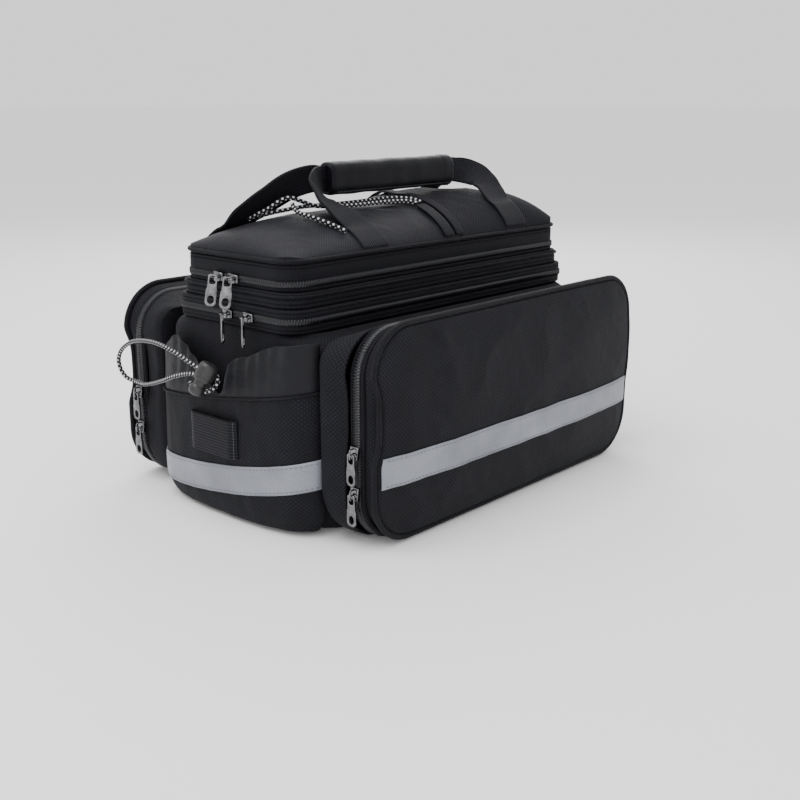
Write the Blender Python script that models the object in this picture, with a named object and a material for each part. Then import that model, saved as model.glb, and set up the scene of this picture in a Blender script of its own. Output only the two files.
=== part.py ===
"""Bicycle trunk bag with two side panniers and an end pocket.

Metres, +Z up. The origin is the middle of the underside. The long side of the bag runs along X,
the end pocket with its drawstring is at -X, the near pannier is at -Y.
"""

from math import cos, pi, radians, sin, sqrt

import bmesh
import bpy
from mathutils import Matrix, Vector

MM = 0.001

# Overall sizes
BAG_LENGTH = 340 * MM
BAG_WIDTH = 260 * MM
GAP = 0.3 * MM

# Cloth
TUB_WALL = 3.0 * MM
SHELL_WALL = 2.2 * MM
BAND_WALL = 2.4 * MM
COLLAR_WALL = 1.2 * MM
TAPE_THICK = 0.9 * MM

# Main tub
TUB_HEIGHT = 131 * MM
END_CROWN = 20 * MM
PANNIER_DEPTH = 50 * MM
TUB_HALF_LENGTH = BAG_LENGTH / 2 - END_CROWN
TUB_HALF_WIDTH = BAG_WIDTH / 2 - PANNIER_DEPTH
TUB_CORNER = 26 * MM

# Zipper bands between tub and lid
LOWER_ZIP_HEIGHT = 15 * MM
EXPANDER_HEIGHT = 10 * MM
UPPER_ZIP_HEIGHT = 17 * MM
SHOULDER = 19.5 * MM
END_STEP = 2 * MM
SIDE_STEP = 3 * MM
LOWER_ZIP_HALF = (TUB_HALF_LENGTH + 0.5 * MM, TUB_HALF_WIDTH - SHOULDER)
EXPANDER_HALF = (LOWER_ZIP_HALF[0] - END_STEP, LOWER_ZIP_HALF[1] - SIDE_STEP)
UPPER_ZIP_HALF = (EXPANDER_HALF[0] - END_STEP, EXPANDER_HALF[1] - SIDE_STEP)
BAND_CORNER = 16 * MM
RIDGE_OUT = 2.6 * MM
COIL_WIDTH = 6.0 * MM
COIL_OUT = 1.2 * MM
UPPER_COIL_DROP = 9.4 * MM

# Lid
LID_PLAIN_RISE = 22 * MM
LID_MESH_RISE = 29 * MM
LID_SKIRT = 3.0 * MM
LID_WALL = 2.6 * MM
LID_PIPING_RADIUS = 2.1 * MM
LID_SEAM_X = 20 * MM
LID_STEP_START = LID_SEAM_X - 80 * MM
LID_STEP_LENGTH = 130 * MM
# How the dome falls off: power of the place and power of the whole, for the plain end, the
# mesh end and both sides
LID_PLAIN_FALL = (4.0, 0.5)
LID_MESH_FALL = (6.5, 0.6)
LID_SIDE_FALL = (2.0, 0.7)
BINDING_WIDTH = 8 * MM
BINDING_THICK = 1.2 * MM
BINDING_REACH = radians(76)
BUNGEE_TAB_X = LID_SEAM_X - 12 * MM
BUNGEE_TAB_WIDTH = 10 * MM
BUNGEE_TAB_LENGTH = 24 * MM
CORD_DIAMETER = 3.0 * MM

# Handle
STRAP_WIDTH = 25 * MM
STRAP_THICK = 1.6 * MM
STRAP_LIFT = 0.7 * MM
GRIP_LEFT_X = -62 * MM
GRIP_RIGHT_X = 70 * MM
GRIP_HEIGHT = 23 * MM
GRIP_WIDTH = 16 * MM
GRIP_WALL = 2.5 * MM
GRIP_RISE = 43.3 * MM
STRAP_SPACING = 2.6 * MM
STRAP_FOOT_Y = UPPER_ZIP_HALF[1] - 3.5 * MM
# Shares of the way over the lid at which a strap is sewn down
STRAP_SEWN = (0.0, 0.16, 0.30)
NEAR_LEFT_FOOT_X = -68 * MM
NEAR_RIGHT_FOOT_X = 89 * MM
FAR_LEFT_FOOT_X = -112 * MM
FAR_RIGHT_FOOT_X = 86 * MM

# Panniers
PANNIER_BACK_Y = TUB_HALF_WIDTH + 0.4 * MM
PANNIER_FRONT_Y = BAG_WIDTH / 2 - TAPE_THICK - 2 * GAP
PANNIER_BULGE = 8 * MM
BACK_TRAY_DEPTH = 18.5 * MM
ZIP_BAND_DEPTH = 11.5 * MM
BACK_HALF_LENGTH = TUB_HALF_LENGTH
ZIP_HALF_LENGTH = TUB_HALF_LENGTH - 5 * MM
FRONT_HALF_LENGTH = TUB_HALF_LENGTH - 1.5 * MM
TRAY_OVERHANG = 3 * MM
TRAY_ROUNDING = 2 * MM
TRAY_SLOPE = 4 * MM
FRONT_RIM = 1 * MM
FRONT_SIDE = 3 * MM
PIPING_DROP = 1.2 * MM
FRONT_SHIFT = 5 * MM
PANNIER_HEIGHT = 145 * MM
BACK_TOP = 132 * MM
ZIP_TOP = 138 * MM
PANNIER_CORNER = 30 * MM
BACK_CORNER = 15 * MM
PANNIER_LIFT = 0.5 * MM
WAIST = 5 * MM
WAIST_HEIGHT = 84 * MM
WAIST_SPAN = 30 * MM
PANNIER_PIPING_RADIUS = 2.0 * MM
REFLECTOR_LOW = 41 * MM
REFLECTOR_WIDTH = 20 * MM

# End pocket
POCKET_DEPTH = 16 * MM
POCKET_HALF_WIDTH = TUB_HALF_WIDTH - 5 * MM
POCKET_SEAM = 84 * MM
POCKET_SLOPE = 0.135
POCKET_CURVE = 0.45
REFLECTOR_CURVE = 0.8
COLLAR_HEIGHT = 36 * MM
COLLAR_LEAN = 5 * MM
END_REFLECTOR_LOW = 18.5 * MM
END_REFLECTOR_WIDTH = 20 * MM
LOOP_WIDTH = 47 * MM
LOOP_HEIGHT = 26 * MM
LOOP_LOW = 46 * MM
LOOP_FOOT = 5 * MM
LOOP_BEND = 1 * MM
LOOP_THICK = 1.6 * MM
LOOP_Y = 2 * MM

# Zipper sliders and their pull tabs
SLIDER_LENGTH = 9.0 * MM
SLIDER_WIDTH = 7.0 * MM
SLIDER_THICK = 2.4 * MM
BAIL_RISE = 3.6 * MM
BAIL_SPAN = 6.6 * MM
BAIL_WIRE = 1.1 * MM
TAB_LENGTH = 21 * MM
TAB_TOP_WIDTH = 6.2 * MM
TAB_END_WIDTH = 7.6 * MM
TAB_THICK = 1.0 * MM
TAB_EYE_LENGTH = 5.4 * MM
TAB_EYE_WIDTH = 4.0 * MM
TAB_EYE_CORNER = 0.7 * MM
TAB_BAR = 1.0 * MM
TAB_SLOT_LENGTH = 5.6 * MM
TAB_SLOT_WIDTH = 4.4 * MM
TAB_TWIST = radians(50)
TAB_LEAN = radians(11)

# Places of the left and right slider across the bag
UPPER_SLIDERS_Y = (12 * MM, -3 * MM)
LOWER_SLIDERS_Y = (-0.5 * MM, -21 * MM)
NEAR_SLIDER_HEIGHT = 63 * MM
FAR_SLIDER_HEIGHT = 67 * MM
SLIDER_STEP = TAB_LENGTH + SLIDER_LENGTH / 2 + 1.2 * MM

# Cord lock
LOCK_RADIUS = 6.6 * MM
LOCK_LENGTH = 12.5 * MM
LOCK_BORE = 4.6 * MM
LOCK_BORE_DEPTH = 9.0 * MM
LOCK_OUT = 6.5 * MM
LOCK_SIDE = -5.5 * MM
LOCK_UP = 20.5 * MM
LOCK_MIDDLE = Vector((-BAG_LENGTH / 2 - LOCK_OUT, LOCK_SIDE, POCKET_SEAM + LOCK_UP))
LOCK_AXIS = Vector((-0.42, 0.30, -0.86)).normalized()
BUTTON_RADIUS = 5.4 * MM
BUTTON_STEM = 4.1 * MM
BUTTON_STEM_LENGTH = 6.0 * MM
BUTTON_TRAVEL = 3.0 * MM
BUTTON_NECK = 0.6 * MM

# Tub sections from the underside up: height, length, width as shares, crown of the far end
TUB_SECTIONS = (
    (0.000, 0.905, 0.930, 0.30),
    (0.040, 0.965, 0.975, 0.62),
    (0.120, 1.000, 1.000, 0.92),
    (0.360, 1.000, 1.000, 1.00),
    (0.700, 1.000, 1.000, 0.72),
    (0.900, 1.000, 0.985, 0.28),
    (0.955, 0.998, 0.935, 0.12),
    (1.000, 0.993, 0.800, 0.00),
)

# Lid rings: share of the outline
LID_RINGS = (0.985, 0.93, 0.82, 0.64, 0.36)

# Collar stations from the far side to the near side: width share, height share, lean share
COLLAR_STATIONS = (
    (0.985, 0.66, 0.4),
    (0.80, 0.95, 0.7),
    (0.66, 1.10, 1.0),
    (0.44, 0.80, 0.9),
    (0.24, 0.46, 0.6),
    (0.06, 0.14, 0.2),
    (-0.06, 0.12, 0.1),
    (-0.12, 0.60, 0.6),
    (-0.38, 0.76, 1.0),
    (-0.65, 0.90, 1.0),
    (-0.88, 0.88, 0.7),
    (-0.985, 0.86, 0.4),
)

# Pocket wall profile from the body outwards and up: depth share, height share of the seam
POCKET_PROFILE = (
    (-0.40, 0.008),
    (0.50, 0.008),
    (0.86, 0.075),
    (0.985, 0.25),
    (1.00, 0.60),
    (0.94, 1.00),
)

# Strap legs from the foot on the lid to the grip: share of x, swing outwards in strap widths,
# shares of y and z, and the turn of the width in degrees
NEAR_LEFT_LEG = (
    (0.00, 0.20, 0.20, 0.24, 8),
    (0.00, 0.40, 0.45, 0.52, 20),
    (0.12, 0.46, 0.68, 0.78, 40),
    (0.50, 0.32, 0.86, 0.94, 62),
    (0.85, 0.12, 0.97, 1.00, 82),
)
NEAR_RIGHT_LEG = (
    (0.05, 0.14, 0.25, 0.36, 6),
    (0.15, 0.24, 0.48, 0.66, 20),
    (0.30, 0.28, 0.70, 0.86, 42),
    (0.60, 0.24, 0.88, 0.97, 64),
    (0.90, 0.10, 0.98, 1.00, 82),
)
FAR_LEFT_LEG = (
    (0.00, 0.04, 0.18, 0.28, 6),
    (0.08, 0.10, 0.42, 0.60, 20),
    (0.35, 0.12, 0.68, 0.90, 42),
    (0.65, 0.08, 0.88, 1.02, 64),
    (0.92, 0.02, 0.98, 1.00, 82),
)

# Cord routes on the lid in millimetres: x, y, height over the cloth
BUNGEE_FRONT = (
    (5.5, -25, 0.6), (1, -20, 0.8), (-8, -17, 1.2), (-22, -14, 1.4), (-38, -12, 1.6), (-52, -9, 1.6),
    (-64, -5, 1.8), (-74, -1, 3.0), (-82, 3, 7.0), (-89, 6, 10.0), (-95, 9, 8.5), (-100, 14, 5.0),
    (-104, 21, 2.5), (-107, 29, 0.7),
)
BUNGEE_BACK = (
    (10.5, -25, 0.6), (8, -18, 0.9), (-2, -10, 1.2), (-16, -5, 1.3), (-32, -2, 1.4), (-48, 2, 1.6),
    (-62, 6, 1.8), (-76, 10, 2.0), (-86, 13, 1.6), (-94, 17, 1.4), (-99.5, 22.5, 1.0), (-101, 28.5, 0.6),
)
BUNGEE_SIDE = (
    (-90.5, 2.0, 6.0), (-93, -2, 3.6), (-95, -8, 2.0), (-95.5, -15, 1.6), (-94.5, -22, 1.4),
    (-92, -29, 1.0), (-88.5, -36, 0.5), (-85, -42, 0.1),
)

# Drawstring routes in millimetres
LOOP_ROUTE = (
    (-177.3, 1.4, 106.0), (-177.0, 12, 108.8), (-176.0, 26, 112.0), (-174.0, 40, 113.5),
    (-171.0, 56, 113.8), (-168.5, 72, 112.5), (-166.0, 88, 109.5), (-164.0, 101, 104.5),
    (-161.9, 112, 97.8), (-160.2, 118, 90.0), (-158.9, 117.7, 82.5), (-158.6, 111, 77.6),
    (-158.8, 101, 76.8), (-163.0, 84, 78.2), (-167.8, 65, 83.3), (-171.5, 48, 89.0),
    (-174.5, 32, 95.0), (-176.5, 18, 99.3), (-178.0, 9, 101.4), (-178.4, 2.2, 102.1),
)
TAIL_ROUTE = (
    (-169.15, -5.6, 101.1), (-168.4, -6.3, 99.3), (-168.6, -6.0, 95.5), (-170.0, -3, 91.5),
    (-170.8, 3, 88.9), (-170.6, 11, 87.9), (-169.0, 18, 88.3), (-167.0, 23, 89.0), (-165.2, 27.6, 89.9),
)

CORD_SPACING = 2.6


def new_material(name, colour, roughness, metallic=0.0):
    """A plain Principled material."""
    made = bpy.data.materials.new(name)
    made.use_nodes = True
    shader = made.node_tree.nodes["Principled BSDF"]
    shader.inputs["Base Color"].default_value = (*colour, 1.0)
    shader.inputs["Roughness"].default_value = roughness
    shader.inputs["Metallic"].default_value = metallic
    made.diffuse_color = (*colour, 1.0)
    return made


def rounded_outline(half_x, half_y, radius, cuts=(2, 4, 2)):
    """Points of a rounded rectangle, counter-clockwise from the middle of its +X side."""
    long_cuts, corner_cuts, short_cuts = cuts
    quarter = []
    for i in range(short_cuts):
        quarter.append((half_x, (half_y - radius) * i / short_cuts))
    for i in range(corner_cuts):
        angle = pi / 2 * i / corner_cuts
        quarter.append((half_x - radius + radius * cos(angle), half_y - radius + radius * sin(angle)))
    for i in range(long_cuts):
        quarter.append(((half_x - radius) * (1 - i / long_cuts), half_y))
    back = list(reversed(quarter[1:]))
    points = list(quarter)
    points += [(0.0, half_y)] + [(-x, y) for x, y in back]
    points += [(-x, -y) for x, y in quarter]
    points += [(0.0, -half_y)] + [(x, -y) for x, y in back]
    return points


def crown(share):
    """Bulge of a cloth end across its width: 1 in the middle, 0 at both sides."""
    return max(0.0, 1.0 - abs(share) ** 3) ** 0.6


def smooth_curve(points, spacing):
    """Points every spacing along a smooth curve through the route's own points."""
    dense = []
    ends = [2 * points[0] - points[1]] + list(points) + [2 * points[-1] - points[-2]]
    for a, b, c, d in zip(ends, ends[1:], ends[2:], ends[3:]):
        for i in range(12):
            t = i / 12
            dense.append(
                0.5 * (2 * b + (c - a) * t + (2 * a - 5 * b + 4 * c - d) * t * t
                       + (3 * b - a - 3 * c + d) * t ** 3)
            )
    dense.append(points[-1])
    steps = [0.0]
    for p, q in zip(dense, dense[1:]):
        steps.append(steps[-1] + (q - p).length)
    count = max(2, round(steps[-1] / spacing))
    placed = []
    k = 0
    for i in range(count + 1):
        goal = steps[-1] * i / count
        while k < len(steps) - 2 and steps[k + 1] < goal:
            k += 1
        span = steps[k + 1] - steps[k]
        placed.append(dense[k].lerp(dense[k + 1], (goal - steps[k]) / span))
    return placed


class Bag:
    """Keeps the two collections and makes the bag's objects."""

    def __init__(self):
        self.parts = bpy.data.collections.new("bicycle_trunk_bag")
        self.cutters = bpy.data.collections.new("cutters")
        bpy.context.scene.collection.children.link(self.parts)
        bpy.context.scene.collection.children.link(self.cutters)

    def add(self, name, mesh, material, place=None, parent=None):
        """Links a mesh as a named part."""
        made = bpy.data.objects.new(name, mesh)
        self.parts.objects.link(made)
        if not mesh.materials:
            mesh.materials.append(material)
        if parent is not None:
            made.parent = parent
        if place is not None:
            made.matrix_local = place
        return made

    def empty(self, name, place, parent=None):
        """An empty that carries other parts."""
        made = bpy.data.objects.new(name, None)
        self.parts.objects.link(made)
        if parent is not None:
            made.parent = parent
        made.matrix_local = place
        return made

    def loft(self, name, rings, material, wrap=False, smooth=True):
        """A solid through rings of equally many points; a ring of one point closes to a pole."""
        shape = bmesh.new()
        made = [[shape.verts.new(p) for p in ring] for ring in rings]
        pairs = list(zip(made, made[1:]))
        if wrap:
            pairs.append((made[-1], made[0]))
        for low, high in pairs:
            count = max(len(low), len(high))
            for i in range(count):
                j = (i + 1) % count
                if len(low) == 1:
                    shape.faces.new((low[0], high[j], high[i]))
                elif len(high) == 1:
                    shape.faces.new((low[i], low[j], high[0]))
                else:
                    shape.faces.new((low[i], low[j], high[j], high[i]))
        if not wrap:
            for ring in (made[0], made[-1]):
                if len(ring) > 2:
                    shape.faces.new(ring)
        bmesh.ops.recalc_face_normals(shape, faces=shape.faces[:])
        mesh = bpy.data.meshes.new(name)
        shape.to_mesh(mesh)
        shape.free()
        if smooth:
            mesh.shade_smooth()
            mesh.set_sharp_from_angle(angle=radians(35))
        return self.add(name, mesh, material)

    def tube(self, name, points, diameter, material):
        """A round cord through points, with filled ends."""
        line = bpy.data.curves.new(name, "CURVE")
        line.dimensions = "3D"
        line.bevel_depth = diameter / 2
        line.bevel_resolution = 2
        line.use_fill_caps = True
        spline = line.splines.new("POLY")
        spline.points.add(len(points) - 1)
        for node, point in zip(spline.points, points):
            node.co = (*point, 1.0)
        made = bpy.data.objects.new(name, line)
        self.parts.objects.link(made)
        line.materials.append(material)
        return made


def level_ring(half_x, half_y, radius, z):
    """A rounded rectangle at one height."""
    return [Vector((x, y, z)) for x, y in rounded_outline(half_x, half_y, radius)]


def tub_ring(half_x, half_y, radius, z, bulge):
    """A tub section whose +X end bulges out."""
    ring = []
    for x, y in rounded_outline(half_x, half_y, radius):
        reach = max(0.0, (x - half_x + radius) / radius)
        ring.append(Vector((x + bulge * reach * crown(y / half_y), y, z)))
    return ring


def make_main_body(bag, cloth):
    """The hollow tub, open at the top."""
    outer = []
    inner = []
    for height, length, width, bulge in TUB_SECTIONS:
        half_x = TUB_HALF_LENGTH * length
        half_y = TUB_HALF_WIDTH * width
        z = TUB_HEIGHT * height
        outer.append(tub_ring(half_x, half_y, TUB_CORNER, z, END_CROWN * bulge))
        inner.append(
            tub_ring(half_x - TUB_WALL, half_y - TUB_WALL, TUB_CORNER - TUB_WALL,
                     max(z, TUB_WALL), END_CROWN * bulge)
        )
    inside = [inner[i] for i in (-1, -2, -3, -4, 2, 0)]
    return bag.loft("main_body", outer + inside, cloth)


def band(bag, name, half, section, material):
    """A cloth ring round the bag: the section lists outset and height of each corner."""
    rings = []
    for out, z in section:
        rings.append(level_ring(half[0] + out, half[1] + out, BAND_CORNER + out, z))
    return bag.loft(name, rings, material, wrap=True)


def coil_section(low, high, middle, wall):
    """A zipper band: flat tape with the raised coil in its middle."""
    return (
        (0.0, low),
        (COIL_OUT, middle - COIL_WIDTH / 2),
        (COIL_OUT, middle + COIL_WIDTH / 2),
        (0.0, high),
        (-wall, high),
        (-wall, low),
    )


def lower_zip_levels():
    """Bottom, top and coil height of the lower zipper band."""
    low = TUB_HEIGHT + GAP
    high = low + LOWER_ZIP_HEIGHT
    return low, high, (low + high) / 2


def expander_levels():
    """Bottom and top of the expansion band."""
    low = lower_zip_levels()[1] + GAP
    return low, low + EXPANDER_HEIGHT


def upper_zip_levels():
    """Bottom, top and coil height of the upper zipper band."""
    low = expander_levels()[1] + GAP
    high = low + UPPER_ZIP_HEIGHT
    return low, high, high - UPPER_COIL_DROP - COIL_WIDTH / 2


def lid_edge():
    """Height where the dome starts."""
    return upper_zip_levels()[1] + GAP + LID_SKIRT


def lid_height(x, y):
    """Height of the lid's outer cloth over a point of the plan."""
    half_x, half_y = UPPER_ZIP_HALF
    step = min(1.0, max(0.0, (x - LID_STEP_START) / LID_STEP_LENGTH))
    rise = LID_PLAIN_RISE + (LID_MESH_RISE - LID_PLAIN_RISE) * step * step * (3 - 2 * step)
    place, whole = LID_PLAIN_FALL if x < 0 else LID_MESH_FALL
    along = max(0.0, 1.0 - abs(x / half_x) ** place) ** whole
    place, whole = LID_SIDE_FALL
    across = max(0.0, 1.0 - abs(y / half_y) ** place) ** whole
    return lid_edge() + rise * along * across


def dome_ring(share, drop):
    """A ring of the lid at a share of its outline, lowered by a wall."""
    half_x, half_y = UPPER_ZIP_HALF
    ring = []
    for x, y in rounded_outline(half_x * share, half_y * share, BAND_CORNER * share):
        ring.append(Vector((x, y, lid_height(x, y) - drop)))
    return ring


def cut_at(mesh, x, keep_left):
    """Cuts a closed mesh at a plane across X and closes the cut."""
    shape = bmesh.new()
    shape.from_mesh(mesh)
    everything = shape.verts[:] + shape.edges[:] + shape.faces[:]
    cut = bmesh.ops.bisect_plane(
        shape, geom=everything, plane_co=(x, 0, 0), plane_no=(1, 0, 0),
        clear_outer=keep_left, clear_inner=not keep_left,
    )
    rim = [e for e in cut["geom_cut"] if isinstance(e, bmesh.types.BMEdge)]
    bmesh.ops.holes_fill(shape, edges=rim, sides=0)
    bmesh.ops.recalc_face_normals(shape, faces=shape.faces[:])
    made = bpy.data.meshes.new("lid_part")
    shape.to_mesh(made)
    shape.free()
    made.shade_smooth()
    made.set_sharp_from_angle(angle=radians(35))
    return made


def make_lid(bag, cloth, mesh_cloth, piping, webbing):
    """The domed lid: a plain panel and a mesh panel that meet under a bound seam."""
    half_x, half_y = UPPER_ZIP_HALF
    bottom = upper_zip_levels()[1] + GAP
    top = Vector((0, 0, lid_height(0, 0)))
    outer = [level_ring(half_x, half_y, BAND_CORNER, bottom), dome_ring(1.0, 0.0)]
    outer += [dome_ring(share, 0.0) for share in LID_RINGS]
    inner_share = (half_y - LID_WALL) / half_y
    inner = [dome_ring(share * inner_share, LID_WALL) for share in LID_RINGS]
    skirt = level_ring(half_x - LID_WALL, half_y - LID_WALL, BAND_CORNER - LID_WALL, bottom)
    rings = [[top]] + outer[::-1] + [skirt] + inner + [[top - Vector((0, 0, LID_WALL))]]
    whole = bag.loft("lid_blank", rings, cloth)
    blank = whole.data
    bpy.data.objects.remove(whole)
    left = cut_at(blank, LID_SEAM_X - GAP / 2, True)
    right = cut_at(blank, LID_SEAM_X + GAP / 2, False)
    left.materials.clear()
    right.materials.clear()
    bag.add("lid_plain_panel", left, cloth)
    bag.add("lid_mesh_panel", right, mesh_cloth)
    bpy.data.meshes.remove(blank)

    out = LID_PIPING_RADIUS + GAP
    z = lid_edge()
    section = []
    for i in range(5):
        angle = 2 * pi * i / 5
        section.append((out + LID_PIPING_RADIUS * cos(angle), z + LID_PIPING_RADIUS * sin(angle)))
    band(bag, "lid_piping", UPPER_ZIP_HALF, section, piping)

    bow = 8
    rows = []
    for i in range(2 * bow + 1):
        y = half_y * sin(BINDING_REACH * (i - bow) / bow)
        rows.append((LID_SEAM_X, y))
    lay_strip(bag, "lid_seam_binding", rows, BINDING_WIDTH, BINDING_THICK, webbing)
    rows = []
    for i in range(6):
        rows.append((BUNGEE_TAB_X, -STRAP_FOOT_Y + BUNGEE_TAB_LENGTH * i / 5))
    lay_strip(bag, "bungee_tab", rows, BUNGEE_TAB_WIDTH, BINDING_THICK, webbing)


def lid_normal(x, y):
    """Outward normal of the lid's cloth."""
    step = 0.5 * MM
    slope_x = (lid_height(x + step, y) - lid_height(x - step, y)) / (2 * step)
    slope_y = (lid_height(x, y + step) - lid_height(x, y - step)) / (2 * step)
    return Vector((-slope_x, -slope_y, 1.0)).normalized()


def on_lid(x, y, lift):
    """A point at a distance over the lid's cloth."""
    return Vector((x, y, lid_height(x, y))) + lid_normal(x, y) * lift


def box_section(middle, wide, thick_way, width, thick):
    """Four corners of a flat strip's section."""
    a = wide * (width / 2)
    b = thick_way * (thick / 2)
    return [middle - a - b, middle + a - b, middle + a + b, middle - a + b]


def lay_strip(bag, name, rows, width, thick, material):
    """A strip of tape that lies on the lid, its width along X."""
    rings = []
    for x, y in rows:
        up = lid_normal(x, y)
        up.x = 0.0
        up.normalize()
        middle = Vector((x, y, lid_height(x, y))) + up * (STRAP_LIFT + thick / 2)
        rings.append(box_section(middle, Vector((1, 0, 0)), up, width, thick))
    return bag.loft(name, rings, material, smooth=False)


def grip_hole_height():
    """Height of the slot in the grip."""
    return GRIP_HEIGHT - 2 * GRIP_WALL


def grip_middle():
    """Height of the grip's axis."""
    return lid_edge() + GRIP_RISE


def strap_leg(foot_x, side, grip_x, strap_y, leg):
    """Middle points, width directions and widths of one leg from its foot to the grip."""
    rows = []
    outwards = 1 if foot_x > 0 else -1
    narrowest = (grip_hole_height() - 2 * GAP) / STRAP_WIDTH
    wide = Vector((1, 0, 0))
    for share in STRAP_SEWN:
        y = side * STRAP_FOOT_Y * (1 - share)
        up = lid_normal(foot_x, y)
        up.x = 0.0
        up.normalize()
        middle = Vector((foot_x, y, lid_height(foot_x, y))) + up * (STRAP_LIFT + STRAP_THICK / 2)
        rows.append((middle, wide, STRAP_WIDTH))
    start = rows[-1][0]
    goal = Vector((grip_x, strap_y, grip_middle()))
    for share_x, swing, share_y, share_z, turn in leg:
        middle = Vector((
            start.x + (goal.x - start.x) * share_x + outwards * swing * STRAP_WIDTH,
            start.y + (goal.y - start.y) * share_y,
            start.z + (goal.z - start.z) * share_z,
        ))
        angle = outwards * radians(turn)
        narrow = 1.0 - (1.0 - narrowest) * turn / 90
        rows.append((middle, Vector((cos(angle), 0, sin(angle))), STRAP_WIDTH * narrow))
    return rows


def make_strap(bag, name, side, feet, legs, webbing):
    """One webbing strap: foot, leg, through the grip, leg, foot."""
    strap_y = side * STRAP_SPACING / 2
    left = strap_leg(feet[0], side, GRIP_LEFT_X, strap_y, legs[0])
    right = strap_leg(feet[1], side, GRIP_RIGHT_X, strap_y, legs[1])
    inside = []
    narrow = grip_hole_height() - 2 * GAP
    for x in (GRIP_LEFT_X, (GRIP_LEFT_X + GRIP_RIGHT_X) / 2, GRIP_RIGHT_X):
        inside.append((Vector((x, strap_y, grip_middle())), Vector((0, 0, -1)), narrow))
    flipped = [(middle, -wide, width) for middle, wide, width in reversed(right)]
    rows = left + inside + flipped
    rings = []
    for i, (middle, wide, width) in enumerate(rows):
        before = rows[max(0, i - 1)][0]
        after = rows[min(len(rows) - 1, i + 1)][0]
        tangent = (after - before).normalized()
        across = (wide - tangent * wide.dot(tangent)).normalized()
        face = tangent.cross(across).normalized()
        rings.append(box_section(middle, across, face, width, STRAP_THICK))
    return bag.loft(name, rings, webbing, smooth=False)


def make_handle(bag, webbing, grip_cloth):
    """Two webbing straps that run through one padded grip."""
    make_strap(bag, "near_handle_strap", -1, (NEAR_LEFT_FOOT_X, NEAR_RIGHT_FOOT_X),
               (NEAR_LEFT_LEG, NEAR_RIGHT_LEG), webbing)
    make_strap(bag, "far_handle_strap", 1, (FAR_LEFT_FOOT_X, FAR_RIGHT_FOOT_X),
               (FAR_LEFT_LEG, NEAR_RIGHT_LEG), webbing)
    half_y = GRIP_WIDTH / 2
    half_z = GRIP_HEIGHT / 2
    hole_y = STRAP_SPACING / 2 + STRAP_THICK / 2 + GAP
    hole_z = grip_hole_height() / 2
    rings = []
    stations = ((0.0, 0.90), (0.03, 1.0), (0.97, 1.0), (1.0, 0.90))
    for share, swell in stations:
        x = GRIP_LEFT_X + (GRIP_RIGHT_X - GRIP_LEFT_X) * share
        outline = rounded_outline(half_z * swell, half_y * swell, half_y * 0.86 * swell, (1, 3, 1))
        rings.append([Vector((x, y, grip_middle() + z)) for z, y in outline])
    for share in (1.0, 0.0):
        x = GRIP_LEFT_X + (GRIP_RIGHT_X - GRIP_LEFT_X) * share
        outline = rounded_outline(hole_z, hole_y, hole_y * 0.3, (1, 3, 1))
        rings.append([Vector((x, y, grip_middle() + z)) for z, y in outline])
    bag.loft("handle_grip", rings, grip_cloth, wrap=True)


def pannier_ring(side, half_length, low, high, corner, y, waist=0.0, shift=0.0, out=0.0):
    """A rounded outline across Y, drawn in at the waist of both ends."""
    middle = (low + high) / 2
    ring = []
    outline = rounded_outline(half_length + out, (high - low) / 2 + out, corner + out)
    for x, z in outline:
        height = middle + z
        lean = max(0.0, 1.0 - ((height - WAIST_HEIGHT) / WAIST_SPAN) ** 2)
        reach = 1.0 if abs(x) > half_length - corner else 0.0
        pull = waist * lean * reach * (1 if x > 0 else -1)
        ring.append(Vector((-side * (x - pull) - side * shift, side * y, height)))
    return ring


def panel_y(x, z):
    """Depth of a pannier's front cloth at a place of its own outline."""
    half_z = (PANNIER_HEIGHT - PANNIER_LIFT) / 2
    u = min(1.0, abs(x / FRONT_HALF_LENGTH))
    v = min(1.0, abs((z - PANNIER_LIFT - half_z) / half_z))
    return PANNIER_FRONT_Y - PANNIER_BULGE + PANNIER_BULGE * (1 - u ** 4) * (1 - v ** 4)


def panel_ring(side, share, drop):
    """A ring of the front cloth at a share of its outline."""
    half_z = (PANNIER_HEIGHT - PANNIER_LIFT) / 2
    middle = PANNIER_LIFT + half_z
    ring = []
    for x, z in rounded_outline(FRONT_HALF_LENGTH * share, half_z * share, PANNIER_CORNER * share):
        height = middle + z
        lean = max(0.0, 1.0 - ((height - WAIST_HEIGHT) / WAIST_SPAN) ** 2)
        reach = 1.0 if abs(x) > (FRONT_HALF_LENGTH - PANNIER_CORNER) * share else 0.0
        pull = WAIST * lean * reach * share ** 3 * (1 if x > 0 else -1)
        y = panel_y(x, height) - drop
        ring.append(Vector((-side * (x - pull) - side * FRONT_SHIFT, side * y, height)))
    return ring


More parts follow.
